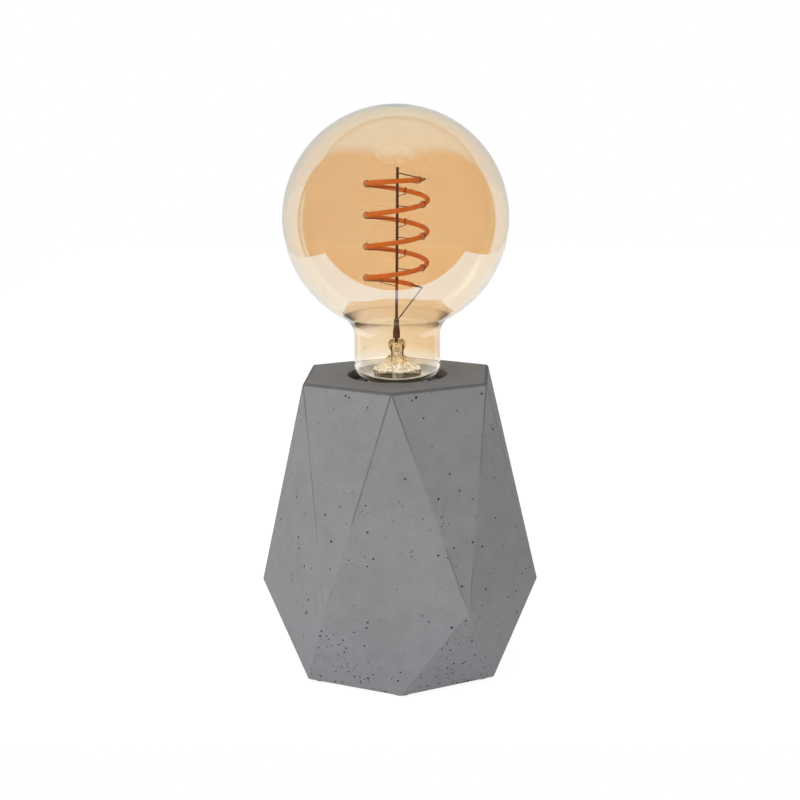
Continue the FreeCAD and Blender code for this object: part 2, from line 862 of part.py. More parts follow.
def centre_contact():
    """The sprung tongue: a bowed strip from its fold to just under the lamp's tip contact."""
    half = tongue_width / 2
    low = Vector(-tongue_pivot_offset, -half, root_z)
    crown = Vector(0, -half, tongue_top_z - tongue_thickness)
    tip = Vector(tongue_tip_offset, -half, tongue_top_z - tongue_thickness - tongue_tip_drop)
    up = Vector(0, 0, tongue_thickness)
    outline = Part.Wire([
        Part.Arc(low, crown, tip).toShape(),
        Part.LineSegment(tip, tip + up).toShape(),
        Part.Arc(tip + up, crown + up, low + up).toShape(),
        Part.LineSegment(low + up, low).toShape(),
    ])
    return Part.Face(outline).extrude(Vector(0, tongue_width, 0))


def rivet(length):
    """A rivet whose head rests on the origin from below and whose shank runs up Z."""
    head = Part.makeCylinder(rivet_head_radius, rivet_head_height, Vector(0, 0, -rivet_head_height))
    rounds = [edge for edge in head.Edges if len(edge.Vertexes) == 1]
    rim = [edge for edge in rounds if edge.BoundBox.ZMax < -rivet_head_height / 2]
    head = head.makeFillet(rivet_head_height / 2, rim)
    return head.fuse(rod(rivet_radius, 0, length)).removeSplitter()


def contact_rivets():
    root_rivet_length = root_z + tongue_thickness - terminal_top_z()
    upper = placed(
        rivet(root_rivet_length), Vector(rivet_place_x(), 0, root_z + tongue_thickness), Vector(0, 0, -1)
    )
    outer_x = terminal_outer_x() + strip_thickness
    side = placed(
        rivet(outer_x - sleeve_inner_radius), Vector(outer_x, 0, side_rivet_z()), Vector(-1, 0, 0)
    )
    return [upper, side]


def terminal(side):
    outer_x = terminal_outer_x()
    inner_x = outer_x - terminal_length
    xs = sorted((side * inner_x, side * outer_x))
    low = carrier_z + terminal_pocket_clearance
    body = block(xs[0], xs[1], -terminal_width / 2, terminal_width / 2, low, terminal_top_z())
    wire_x = side * lead_top_x()
    body = body.cut(rod(terminal_hole_radius, low - overrun, low + terminal_hole_depth, wire_x, 0))
    screw_hole = Part.makeCylinder(
        terminal_screw_radius + thread_clearance, outer_x + overrun - inner_x - terminal_hole_inset,
        Vector(side * (inner_x + terminal_hole_inset), 0, terminal_screw_z()), Vector(side, 0, 0),
    )
    return body.cut(screw_hole)


def lead_top_x():
    """The vertical wire hole of a terminal, near its inner face."""
    return terminal_outer_x() - terminal_length + terminal_hole_inset


def terminal_screws():
    screws = []
    tip_x = lead_top_x() + lead_core_radius + thread_clearance
    for side, seat in ((-1, terminal_outer_x()), (1, terminal_outer_x() + strip_thickness)):
        screw = slotted_screw(
            terminal_screw_radius, seat - tip_x, terminal_screw_head_radius, terminal_screw_head_height
        )
        screws.append(placed(screw, Vector(side * seat, 0, terminal_screw_z()), Vector(-side, 0, 0)))
    return screws


def connector_pole_z():
    return cover_top_z + pole_height


def connector_shoulder_z():
    """The top of the block's foot between its two towers."""
    return connector_pole_z() - connector_shoulder


def lead(side, name):
    """An inner lead, from its terminal down the nipple and round into the connector."""
    top_x = lead_top_x()
    middle_x = lead_spacing / 2
    pole_x = pole_spacing / 2
    terminal_z = carrier_z + terminal_pocket_clearance
    start_z = terminal_z - lead_end_gap
    entry_y = connector_centre_y - connector_length / 2
    front_y = lead_wall_gap + lead_radius - cavity_radius
    fall = nipple_z - connector_pole_z()
    below, swing, front = [nipple_z - share * fall for share in lead_drop_shares]
    route = [
        Vector(side * top_x, 0, start_z),
        Vector(side * top_x, 0, start_z - lead_top_straight),
        Vector(side * middle_x, 0, nipple_top_z + lead_into_nipple),
        Vector(side * middle_x, 0, below),
        Vector(side * (middle_x + pole_x) / 2, front_y * lead_forward_share, swing),
        Vector(side * pole_x, front_y, front),
        Vector(side * pole_x, front_y, connector_pole_z()),
        Vector(side * pole_x, entry_y - lead_end_gap, connector_pole_z()),
    ]
    tube = rounded_route(route, name, lead_radius)
    core_top_z = terminal_z + terminal_hole_depth - lead_end_gap
    top_core = rod(lead_core_radius, start_z, core_top_z, side * top_x, 0)
    foot_core = rod_between(lead_core_radius, route[-1], route[-1] + Vector(0, lead_entry_depth, 0))
    return tube.fuse([top_core, foot_core])


def connector_block():
    """Two-pole block: a low foot with a raised tower over each pole, open at both ends for the wires."""
    half_x = connector_width / 2
    low_y = connector_centre_y - connector_length / 2
    high_y = connector_centre_y + connector_length / 2
    top = cover_top_z + connector_height
    shoulder = connector_shoulder_z()
    body = block(-half_x, half_x, low_y, high_y, cover_top_z, shoulder)
    for side in (-1, 1):
        x = side * pole_spacing / 2
        half = connector_tower_width / 2
        body = body.fuse(block(x - half, x + half, low_y, high_y, cover_top_z, top))
    body = body.removeSplitter()
    upright = [
        edge for edge in body.Edges
        if edge.BoundBox.ZLength > (top - shoulder) / 2 and edge.BoundBox.ZMin > cover_top_z
    ]
    body = body.makeFillet(connector_shoulder / 4, upright)
    for side in (-1, 1):
        x = side * pole_spacing / 2
        channel = Part.makeCylinder(
            pole_sleeve_radius + fit_gap, connector_length + 2 * overrun,
            Vector(x, low_y - overrun, connector_pole_z()), Vector(0, 1, 0),
        )
        body = body.cut(channel)
        for step in (-1, 1):
            y = connector_centre_y + step * pole_screw_offset
            screw_hole = rod(pole_screw_radius + screw_clearance, connector_pole_z(), top + overrun, x, y)
            body = body.cut(screw_hole)
    fixing_radius = cover_screw_radius + screw_clearance
    fixing_hole = rod(fixing_radius, cover_top_z - overrun, top + overrun, 0, connector_centre_y)
    return body.cut(fixing_hole)


def connector_sleeves():
    sleeves = []
    length = connector_length - 2 * pole_sleeve_inset
    start_y = connector_centre_y - length / 2
    for side in (-1, 1):
        x = side * pole_spacing / 2
        base = Vector(x, start_y, connector_pole_z())
        tube = Part.makeCylinder(pole_sleeve_radius, length, base, Vector(0, 1, 0))
        tube = tube.cut(Part.makeCylinder(pole_bore_radius, length, base, Vector(0, 1, 0)))
        for step in (-1, 1):
            y = connector_centre_y + step * pole_screw_offset
            top = connector_pole_z() + pole_sleeve_radius + overrun
            tube = tube.cut(rod(pole_screw_radius + thread_clearance, connector_pole_z(), top, x, y))
        sleeves.append(tube)
    return sleeves


def connector_screws():
    """Four clamp screws, each with its point on the wire or, where no wire lies, at the same depth."""
    screws = []
    low = connector_pole_z() + lead_core_radius + thread_clearance
    high = cover_top_z + connector_height - pole_screw_recess
    for side in (-1, 1):
        for step in (-1, 1):
            x = side * pole_spacing / 2
            y = connector_centre_y + step * pole_screw_offset
            screw = rod(pole_screw_radius, low, high, x, y)
            slot = block(
                x - pole_screw_radius - overrun, x + pole_screw_radius + overrun,
                y - drive_width / 2, y + drive_width / 2,
                high - drive_width, high + overrun,
            )
            screws.append(screw.cut(slot))
    return screws


def connector_fixing_screw():
    seat = connector_shoulder_z()
    length = seat - cover_z - 2 * connector_screw_end
    head_radius = cover_screw_radius + connector_screw_room - thread_clearance
    screw = slotted_screw(cover_screw_radius, length, head_radius, cover_screw_head_height)
    return placed(screw, Vector(0, connector_centre_y, seat), Vector(0, 0, -1))


def cap_shell_outline():
    outer = cap_shell_radius
    wall = cap_shell_wall
    cone_z = cap_top_z - cap_rim_height - cap_rim_cone
    band_z = cap_top_z - cap_rim_height
    return [
        (outer - wall, cap_z),
        (outer, cap_z),
        (outer, cone_z),
        (cap_rim_radius, band_z),
        (cap_rim_radius, cap_top_z),
        (cap_rim_radius - wall, cap_top_z),
        (cap_rim_radius - wall, band_z),
        (outer - wall, cone_z),
    ]


def bulb_cap():
    shell = turned(cap_shell_outline())
    ridge = thread_ridge(cap_shell_radius, cap_crest_radius, cap_z + cap_thread_start, cap_thread_turns, 0)
    return shell.fuse(ridge).removeSplitter()


def cap_insulator():
    grip_radius = cap_shell_radius - cap_shell_wall - turning_clearance
    lower = turned([
        (0, insulator_z),
        (insulator_foot_radius, insulator_z),
        (grip_radius, cap_z),
        (grip_radius, cap_z + insulator_grip),
        (0, cap_z + insulator_grip),
    ])
    return lower.cut(rod(tip_bore_radius, insulator_z - overrun, cap_z + insulator_grip + overrun))


def tip_contact():
    return turned([
        (tip_bore_radius, insulator_z),
        (tip_radius, insulator_z),
        (tip_radius, tip_z + tip_crown),
        (tip_bore_radius, tip_z),
    ])


def bulb_glass():
    centre = (neck_radius + neck_fillet, neck_top_z)
    angle = math.degrees(math.atan2(neck_fillet_drop, centre[0]))
    globe_centre = (0, globe_z)
    shoulder_centre = (neck_radius - shoulder_radius, shoulder_z)
    tail_reach = (glass_tail_radius - shoulder_centre[0]) / shoulder_radius
    tail_deg = -math.degrees(math.acos(tail_reach))
    inner_reach = (glass_tail_radius - glass_wall - shoulder_centre[0]) / (shoulder_radius - glass_wall)
    inner_deg = -math.degrees(math.acos(inner_reach))
    tail_z = cap_top_z - glass_tail_length
    outer_tail = on_circle(shoulder_centre, shoulder_radius, tail_deg)
    inner_globe = globe_radius - glass_wall
    return turned([
        (glass_tail_radius, tail_z),
        (glass_tail_radius, outer_tail[1]),
        arc_step(shoulder_centre, shoulder_radius, tail_deg, 0),
        (neck_radius, centre[1]),
        arc_step(centre, neck_fillet, 180, 180 - angle),
        arc_step(globe_centre, globe_radius, -angle, 90),
        (0, globe_z + inner_globe),
        arc_step(globe_centre, inner_globe, 90, -angle),
        arc_step(centre, neck_fillet + glass_wall, 180 - angle, 180),
        (neck_radius - glass_wall, shoulder_z),
        arc_step(shoulder_centre, shoulder_radius - glass_wall, 0, inner_deg),
        (glass_tail_radius - glass_wall, tail_z),
    ])


def cap_cement():
    outer = cap_rim_radius - cap_shell_wall - cement_gap
    inner = glass_tail_radius + cement_gap
    low = cap_top_z - cap_rim_height
    return rod(outer, low, cap_top_z).cut(rod(inner, low - overrun, cap_top_z + overrun))


def stem_glass():
    """Flared glass tube closed by the flat pinch that grips the wires, its exhaust tube down the middle."""
    waist_top_z = pinch_top_z - pinch_height
    collar_top_z = waist_top_z - stem_collar_radius + stem_waist_radius
    outer_foot = glass_tail_radius - glass_wall - cement_gap
    inner_foot = outer_foot - stem_wall
    inner_collar = stem_collar_radius - stem_wall
    tail_z = cap_top_z - glass_tail_length
    foot_top_z = cap_top_z + stem_foot_above_cap
    out_share, up_share = flare_middle_shares
    flare_r = stem_collar_radius + (outer_foot - stem_collar_radius) * out_share
    flare_rise = foot_top_z + (flare_z - foot_top_z) * up_share
    tube = turned([
        (inner_foot, tail_z),
        (outer_foot, tail_z),
        (outer_foot, foot_top_z),
        ((flare_r, flare_rise), (stem_collar_radius, flare_z)),
        (stem_collar_radius, collar_top_z),
        (stem_waist_radius, waist_top_z),
        (0, waist_top_z),
        (0, waist_top_z - stem_wall),
        (stem_waist_radius - stem_wall, waist_top_z - stem_wall),
        (inner_collar, collar_top_z - stem_wall),
        (inner_collar, flare_z - stem_wall),
        ((flare_r - stem_wall, flare_rise - stem_wall), (inner_foot, foot_top_z - stem_wall)),
    ])
    pinch = block(
        -pinch_width / 2, pinch_width / 2, -pinch_depth / 2, pinch_depth / 2,
        waist_top_z - stem_wall / 2, pinch_top_z,
    )
    rounded = [edge for edge in pinch.Edges if edge.BoundBox.ZMax > waist_top_z]
    pinch = pinch.makeFillet(pinch_depth / 4, rounded)
    body = tube.fuse([pinch, exhaust_tube(waist_top_z)]).removeSplitter()
    post_foot_z = pinch_top_z - post_sink
    body = body.cut(rod(post_radius + fit_gap, post_foot_z, pinch_top_z + overrun, post_offset, 0))
    lead_hole_z = waist_top_z - 2 * stem_wall
    for x in stem_lead_places():
        body = body.cut(rod(stem_lead_radius + fit_gap, lead_hole_z, stem_lead_top_z(), x, 0))
    return body


def exhaust_tube(closed_top_z):
    inner = exhaust_radius - exhaust_wall
    round_z = exhaust_z + exhaust_radius
    bulge = exhaust_radius * math.cos(math.radians(45))
    return turned([
        (0, exhaust_z),
        ((bulge, round_z - bulge), (exhaust_radius, round_z)),
        (exhaust_radius, closed_top_z - stem_wall / 2),
        (inner, closed_top_z - stem_wall / 2),
        (inner, round_z),
        (0, round_z - inner / 2),
    ])


def stem_lead_places():
    half = stem_lead_spacing / 2
    return [-half, half]


def stem_lead_top_z():
    return pinch_top_z - pinch_height + stem_lead_sink


def leaned(shape):
    """The filament's mount stands slightly off upright, about the foot of its post."""
    copy = shape.copy()
    copy.rotate(Vector(post_offset, 0, pinch_top_z), Vector(0, 1, 0), mount_lean_deg)
    return copy


def filament_post():
    low = pinch_top_z - post_sink
    high = globe_z + post_top_above_centre
    return leaned(rod(post_radius, low, high, post_offset, 0))


def post_sleeve():
    low = pinch_top_z + fit_gap
    bore = post_radius + fit_gap
    body = turned([
        (bore, low),
        (post_sleeve_radius, low),
        (post_sleeve_radius, low + post_sleeve_height / 3),
        (post_sleeve_tip_radius, low + post_sleeve_height),
        (bore, low + post_sleeve_height),
    ])
    body.translate(Vector(post_offset, 0, 0))
    return leaned(body)


def coil_point(turned_deg):
    """A point on the filament's line and its tangent, turned_deg round from its upper end."""
    turns = turned_deg / 360
    level = coil_level_deg / 360
    left_z = globe_z + coil_left_above_centre
    if turns < level:
        height = left_z + coil_pitch * (level ** 2 - turns ** 2) / (2 * level)
        slope = coil_pitch * turns / level
    else:
        height = left_z - coil_pitch * (turns - level)
        slope = coil_pitch
    angle = math.radians(coil_start_deg - turned_deg)
    point = Vector(post_offset + coil_radius * math.cos(angle), coil_radius * math.sin(angle), height)
    round_trip = 2 * math.pi * coil_radius
    tangent = Vector(math.sin(angle) * round_trip, -math.cos(angle) * round_trip, -slope)
    return point, tangent.normalize()


def coil_edges(start_deg, end_deg):
    count = math.ceil((end_deg - start_deg) / coil_arc_deg)
    edges = []
    for k in range(count):
        a = start_deg + (end_deg - start_deg) * k / count
        b = start_deg + (end_deg - start_deg) * (k + 1) / count
        start, start_tangent = coil_point(a)
        end, end_tangent = coil_point(b)
        edges += biarc(start, start_tangent, end, end_tangent)
    return edges


def filament():
    edges = coil_edges(0, coil_sweep_deg)
    print_coil_gap()
    return leaned(swept(edges, coil_wire_radius))


def print_coil_gap():
    """Measures the least gap between stretches of the filament that lie more than half a turn apart."""
    line = [coil_point(k)[0] for k in range(0, int(coil_sweep_deg), coil_check_step_deg)]
    apart = 180 // coil_check_step_deg
    least = min((a - b).Length for i, a in enumerate(line) for b in line[i + apart:])
    gap = least - 2 * coil_wire_radius
    print("filament least gap", round(gap, 2), "over", least_coil_gap, gap > least_coil_gap)


def coil_tips():
    """The two metal ends that carry on the filament's line, each from where it leaves the filament."""
    upper, upper_tangent = coil_point(0)
    lower, lower_tangent = coil_point(coil_sweep_deg)
    return [
        (upper, upper - upper_tangent * upper_tip_length),
        (lower, lower + lower_tangent * lower_tip_length),
    ]


def filament_tips():
    return [leaned(rod_between(coil_tip_radius, near, far)) for near, far in coil_tips()]


def support_wires():
    """Each wire leaves the post level and curls in a ring round the filament."""
    wires = []
    for turned_deg in support_at_deg:
        point, _ = coil_point(turned_deg)
        outward = Vector(point.x - post_offset, point.y, 0).normalize()
        down = Vector(0, 0, -support_ring_radius)
        on_post = Vector(post_offset, 0, point.z) + outward * (post_radius + support_radius)
        ring = [point + down]
        for quarter in range(1, 5):
            turn = math.radians(support_ring_sweep_deg) * quarter / 4
            sideways = outward * math.sin(turn) * support_ring_radius
            ring.append(point + sideways + down * math.cos(turn))
        edges = [
            Part.LineSegment(on_post + down, ring[0]).toShape(),
            Part.Arc(ring[0], ring[1], ring[2]).toShape(),
            Part.Arc(ring[2], ring[3], ring[4]).toShape(),
        ]
        wires.append(leaned(swept(edges, support_radius)))
    return wires


def lead_wires():
    """One lead joins the post to the filament's upper tip, the other its lower tip to the post's sleeve."""
    upper_tip, lower_tip = [far for near, far in coil_tips()]
    reach = coil_tip_radius + lead_wire_radius
    post_middle = Vector(post_offset, 0, globe_z + upper_lead_above_centre)
    away = Vector(upper_tip - post_middle).normalize()
    on_post = post_middle + away * (post_radius + lead_wire_radius)
    upper = rod_between(lead_wire_radius, on_post, upper_tip - away * reach)
    sleeve_top = Vector(post_offset, 0, pinch_top_z + post_sleeve_height)
    beside = Vector(lower_tip.x - sleeve_top.x, lower_tip.y, 0).normalize()
    on_sleeve = sleeve_top + beside * (post_sleeve_tip_radius + lead_wire_radius)
    down = Vector(on_sleeve - lower_tip).normalize()
    lower = rod_between(lead_wire_radius, lower_tip + down * reach, on_sleeve)
    return [leaned(upper), leaned(lower)]


def stem_leads():
    low = board_top_z + fit_gap
    high = stem_lead_top_z() - fit_gap
    return [rod(stem_lead_radius, low, high, x, 0) for x in stem_lead_places()]


def driver_board():
    half_width = board_width / 2
    half_thickness = board_thickness / 2
    return block(-half_width, half_width, -half_thickness, half_thickness, board_z, board_top_z)


def driver_capacitor():
    y = board_thickness / 2 + capacitor_radius + fit_gap
    low = board_z + (board_height - capacitor_length) / 2
    can = rod(capacitor_radius, low, low + capacitor_length, 0, y)
    return can.makeFillet(capacitor_radius / 6, [edge for edge in can.Edges if len(edge.Vertexes) == 1])


def driver_chip():
    half = chip_width / 2
    y = -board_thickness / 2
    low = board_z + (board_height - chip_height) / 2
    return block(-half, half, y - chip_thickness, y, low, low + chip_height)


def fuse_resistor():
    """It stands on the axis under the board, and its lower wire ends in the tip contact."""
    top = board_z - fuse_wire_above
    body = rod(fuse_radius, top - fuse_length, top)
    body = body.makeFillet(fuse_radius / 3, [edge for edge in body.Edges if len(edge.Vertexes) == 1])
    wire = rod(fuse_wire_radius, tip_z + fit_gap, board_z)
    return body.fuse(wire).removeSplitter()


def cap_lead():
    """The wire from the board's edge to the inside of the threaded cap."""
    low = board_z + board_height / 2
    start = Vector(board_width / 2 + fit_gap, 0, low)
    end = Vector(cap_shell_radius - cap_shell_wall - fit_gap, 0, low)
    return rod_between(driver_lead_radius, start, end)


# Every piece, by the name of its file
pieces = {
    "concrete_body": concrete_body,
    "foot_pads": foot_pads,
    "base_cover": base_cover,
    "cover_screws": cover_screws,
    "cover_inserts": cover_inserts,
    "cable_grommet": cable_grommet,
    "mounting_nipple": mounting_nipple,
    "nipple_washer": nipple_washer,
    "nipple_nut": nipple_nut,
    "holder_cap": holder_cap,
    "nipple_grub_screw": nipple_grub_screw,
    "holder_skirt": holder_skirt,
    "contact_carrier": contact_carrier,
    "thread_sleeve": thread_sleeve,
    "side_contact": side_contact,
    "contact_root": contact_root,
    "centre_contact": centre_contact,
    "contact_rivets": contact_rivets,
    "live_terminal": lambda: terminal(-1),
    "neutral_terminal": lambda: terminal(1),
    "terminal_screws": terminal_screws,
    "live_lead": lambda: lead(-1, "live lead"),
    "neutral_lead": lambda: lead(1, "neutral lead"),
    "connector_block": connector_block,
    "connector_sleeves": connector_sleeves,
    "connector_screws": connector_screws,
    "connector_fixing_screw": connector_fixing_screw,
    "bulb_glass": bulb_glass,
    "bulb_cap": bulb_cap,
    "cap_cement": cap_cement,
    "cap_insulator": cap_insulator,
    "tip_contact": tip_contact,
    "stem_glass": stem_glass,
    "filament_post": filament_post,
    "post_sleeve": post_sleeve,
    "filament": filament,
    "filament_tips": filament_tips,
    "support_wires": support_wires,
    "lead_wires": lead_wires,
    "stem_leads": stem_leads,
    "driver_board": driver_board,
    "driver_capacitor": driver_capacitor,
    "driver_chip": driver_chip,
    "fuse_resistor": fuse_resistor,
    "cap_lead": cap_lead,
}

os.makedirs("parts", exist_ok=True)
for name, make in pieces.items():
    made = make()
    solids = made if isinstance(made, list) else [made]
    shape = solids[0] if len(solids) == 1 else Part.makeCompound(solids)
    print(name, "solids", len(shape.Solids), "valid", shape.isValid(), "volume", round(shape.Volume, 1))
    shape.exportStep("parts/" + name + ".step")
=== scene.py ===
"""The looks of a concrete table lamp with an amber globe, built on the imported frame."""
import math
import random

import bpy
from bpy.props import FloatProperty, FloatVectorProperty, IntProperty, PointerProperty
from bpy.types import Operator, Panel, PropertyGroup
from mathutils import Matrix, Vector


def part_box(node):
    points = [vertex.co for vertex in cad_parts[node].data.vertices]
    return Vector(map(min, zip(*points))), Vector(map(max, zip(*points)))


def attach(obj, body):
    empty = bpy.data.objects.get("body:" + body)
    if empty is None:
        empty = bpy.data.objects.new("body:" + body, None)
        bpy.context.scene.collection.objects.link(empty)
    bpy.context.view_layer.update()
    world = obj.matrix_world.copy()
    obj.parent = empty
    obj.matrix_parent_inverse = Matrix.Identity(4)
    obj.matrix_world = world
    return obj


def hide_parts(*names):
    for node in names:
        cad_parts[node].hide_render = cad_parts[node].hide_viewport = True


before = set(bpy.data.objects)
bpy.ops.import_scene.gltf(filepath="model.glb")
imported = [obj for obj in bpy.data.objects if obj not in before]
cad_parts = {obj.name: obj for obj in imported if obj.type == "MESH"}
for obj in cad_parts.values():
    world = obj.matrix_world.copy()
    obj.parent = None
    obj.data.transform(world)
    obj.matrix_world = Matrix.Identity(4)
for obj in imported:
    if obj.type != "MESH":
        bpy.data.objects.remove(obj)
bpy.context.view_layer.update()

bl_info = {
    "name": "Concrete table lamp",
    "version": (1, 0, 0),
    "blender": (4, 5, 0),
    "location": "View3D > Sidebar > Lamp",
    "description": "Stages, shapes and finishes the concrete table lamp",
    "category": "Object",
}

MM = 0.001
BLACK = (0.0, 0.0, 0.0, 1.0)
WHITE = (1.0, 1.0, 1.0, 1.0)

globe_low, globe_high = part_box("bulb_glass")
body_low, body_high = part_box("concrete_body")
GLOBE_RADIUS = round((globe_high.x - globe_low.x) / 2, 4)
GLOBE_TOP = globe_high.z
GLOBE_FOOT = globe_low.z
CASTING_TOP = body_high.z
CASTING_REACH = body_high.x


class StageSettings(PropertyGroup):
    camera_place: FloatVectorProperty(
        name="Camera place", description="Where the camera stands", subtype="TRANSLATION",
        unit="LENGTH", default=(0.02376, -0.83926, 0.28547))
    camera_aim: FloatVectorProperty(
        name="Camera aim", description="The point at the middle of the picture",
        subtype="TRANSLATION", unit="LENGTH", default=(0.00093, 0.00003, 0.11746))
    camera_roll: FloatProperty(
        name="Camera roll", description="How far the camera leans clockwise",
        subtype="ANGLE", unit="ROTATION", default=0.0111)
    lens: FloatProperty(
        name="Lens", description="Focal length on a 36 mm sensor", unit="CAMERA", default=90.4)
    floor_width: FloatProperty(
        name="Floor width", description="Width of the white table", unit="LENGTH", default=0.85)
    floor_front: FloatProperty(
        name="Floor front", description="How far the table comes forward of the lamp",
        unit="LENGTH", default=0.10)
    floor_depth: FloatProperty(
        name="Floor depth", description="Front to back size of the table", unit="LENGTH", default=1.6)
    floor_glow: FloatProperty(
        name="Floor glow", description="White of the table where it is looked at", default=0.91)
    floor_bounce: FloatProperty(
        name="Floor bounce", description="Extra light that the table throws up", default=0.2)
    key_power: FloatProperty(
        name="Key light", description="Power of the large light at the left front",
        unit="POWER", default=6.1)
    fill_power: FloatProperty(
        name="Fill light", description="Power of the light at the right front", unit="POWER", default=1.9)
    ambient: FloatProperty(
        name="Ambient", description="Strength of the light from all round", default=0.55)
    backdrop_shine: FloatProperty(
        name="Backdrop shine", description="How bright the backdrop is in reflections", default=0.75)
    far_room: FloatProperty(
        name="Far room", description="Light that the globe's far wall mirrors", default=0.15)


class CastingSettings(PropertyGroup):
    tone: FloatVectorProperty(
        name="Concrete", description="Main grey of the cast sides", subtype="COLOR",
        size=3, default=(0.243, 0.245, 0.245))
    top_tone: FloatVectorProperty(
        name="Rubbed top", description="Browner grey of the smooth top", subtype="COLOR",
        size=3, default=(0.322, 0.308, 0.300))
    pore_count: IntProperty(
        name="Pores", description="Air pores over the whole casting", default=2000)
    largest_pore: FloatProperty(
        name="Largest pore", description="Radius of the largest pore", unit="LENGTH", default=0.58 * MM)
    smallest_pore: FloatProperty(
        name="Smallest pore", description="Radius of the smallest modelled pore",
        unit="LENGTH", default=0.17 * MM)
    round_from: FloatProperty(
        name="Round from", description="Radius from which a pore gets a rounder shape",
        unit="LENGTH", default=0.36 * MM)
    seed: IntProperty(name="Seed", description="Which scatter of pores is used", default=7)


class GlassSettings(PropertyGroup):
    tint: FloatVectorProperty(
        name="Amber", description="Colour of the globe's glass", subtype="COLOR", size=3,
        default=(0.947, 0.90, 0.745))
    neck_tint: FloatVectorProperty(
        name="Neck amber", description="Paler colour of the glass in the neck",
        subtype="COLOR", size=3, default=(0.985, 0.912, 0.775))
    mirror: FloatVectorProperty(
        name="Mirror coat", description="Colour that the coated glass mirrors",
        subtype="COLOR", size=3, default=(0.174, 0.616, 1.0))
    coat_index: FloatProperty(
        name="Coat index", description="Refractive index that gives the coat its shine", default=2.94)
    wall: FloatProperty(
        name="Wall", description="Thickness of the globe's glass", unit="LENGTH", default=0.35 * MM)
    foot_wall: FloatProperty(
        name="Foot wall", description="Thickness of the glass where it is melted to the stem",
        unit="LENGTH", default=0.9 * MM)
    # Painted light: a pale glow in the foot of the glass that stands in for reflections.
    veil: FloatProperty(
        name="Veil", description="Pale light that hangs in the foot of the glass", default=1.0)
    neck_radius: FloatProperty(
        name="Neck radius", description="Radius of the straight neck", unit="LENGTH", default=18.3 * MM)
    neck_fillet: FloatProperty(
        name="Neck fillet", description="Radius of the curve from neck to globe",
        unit="LENGTH", default=8.8 * MM)
    shoulder_radius: FloatProperty(
        name="Shoulder radius", description="Radius of the curve under the neck",
        unit="LENGTH", default=7.2 * MM)
    tail_radius: FloatProperty(
        name="Tail radius", description="Radius of the end that sits in the cap",
        unit="LENGTH", default=11.05 * MM)


class FinishSettings(PropertyGroup):
    phosphor: FloatVectorProperty(
        name="Phosphor", description="Colour of the filament's silicone", subtype="COLOR",
        size=3, default=(0.84, 0.25, 0.025))
    # Painted light: a glow that brightens the filament though the lamp is off.
    phosphor_glow: FloatProperty(
        name="Phosphor glow", description="How much the phosphor shines in daylight", default=0.22)
    rod: FloatVectorProperty(
        name="Rod", description="Colour of the rod that carries the filament",
        subtype="COLOR", size=3, default=(0.21, 0.09, 0.025))
    wire: FloatVectorProperty(
        name="Wires", description="Colour of the wires inside the globe", subtype="COLOR",
        size=3, default=(0.12, 0.08, 0.04))


def deselect():
    for piece in list(bpy.context.selected_objects):
        piece.select_set(False)


def only(piece, *others):
    """Selects these pieces and no more, with the first as the active one."""
    deselect()
    for chosen in (piece, *others):
        chosen.select_set(True)
    bpy.context.view_layer.objects.active = piece


def join(piece, *others):
    only(piece, *others)
    bpy.ops.object.join()


def edit(piece):
    only(piece)
    bpy.ops.object.mode_set(mode="EDIT")
    bpy.ops.mesh.select_all(action="SELECT")


def finish_edit():
    bpy.ops.object.mode_set(mode="OBJECT")


def added(name, scale=(1, 1, 1)):
    """Names the primitive just added, with its place, turn and size in its mesh."""
    piece = bpy.context.active_object
    piece.name = name
    piece.scale = scale
    only(piece)
    bpy.ops.object.transform_apply(location=True, rotation=True, scale=True)
    return piece


def apply_modifier(piece, kind, **settings):
    only(piece)
    modifier = piece.modifiers.new(kind.title(), kind)
    for name, value in settings.items():
        setattr(modifier, name, value)
    bpy.ops.object.modifier_apply(modifier=modifier.name)


def smooth(piece, degrees):
    """Smooth shading over every edge that turns by less than this."""
    only(piece)
    bpy.ops.object.shade_smooth_by_angle(angle=math.radians(degrees))


def roughen(piece, offset, seed):
    """Moves each point a little, as hand pressing leaves the glass."""
    edit(piece)
    bpy.ops.transform.vertex_random(offset=offset, uniform=0.6, normal=0.4, seed=seed)
    finish_edit()


def arc(centre, radius, from_deg, to_deg, steps):
    """Points of an arc in the outline's plane, both ends included."""
    turn = (to_deg - from_deg) / steps
    angles = [math.radians(from_deg + k * turn) for k in range(steps + 1)]
    return [(centre[0] + radius * math.cos(a), centre[1] + radius * math.sin(a)) for a in angles]


def turned(name, outline, sides, closed_top=False):
    """A ring drawn up along an outline of (radius, height) points."""
    deselect()
    radius, height = outline[0]
    bpy.ops.mesh.primitive_circle_add(vertices=sides, radius=radius, location=(0, 0, height))
    piece = added(name)
    edit(piece)
    for new_radius, new_height in outline[1:]:
        bpy.ops.mesh.extrude_edges_move(
            TRANSFORM_OT_translate={"value": (0, 0, new_height - height)})
        share = new_radius / radius
        bpy.ops.transform.resize(value=(share, share, 1), center_override=(0, 0, new_height))
        radius, height = new_radius, new_height
    if closed_top:
        bpy.ops.mesh.merge(type="CENTER")
    bpy.ops.mesh.select_all(action="SELECT")
    bpy.ops.mesh.remove_doubles(threshold=MM / 1000)
    bpy.ops.mesh.normals_make_consistent(inside=False)
    finish_edit()
    return piece


def copy_of(node, name):
    """A merged copy of a CAD node, ready to be worked on."""
    piece = bpy.data.objects.new(name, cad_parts[node].data.copy())
    bpy.context.scene.collection.objects.link(piece)
    piece.data.materials.clear()
    edit(piece)
    bpy.ops.mesh.remove_doubles(threshold=MM / 1000)
    finish_edit()
    return piece


def dress(material, *nodes):
    """Gives CAD nodes their finish."""
    for node in nodes:
        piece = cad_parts[node]
        piece.data.materials.clear()
        piece.data.materials.append(material)


def shaded(colour, share=1.0):
    """A colour, or a lighter or darker step of it."""
    return tuple(min(1.0, part * share) for part in colour[:3]) + (1.0,)


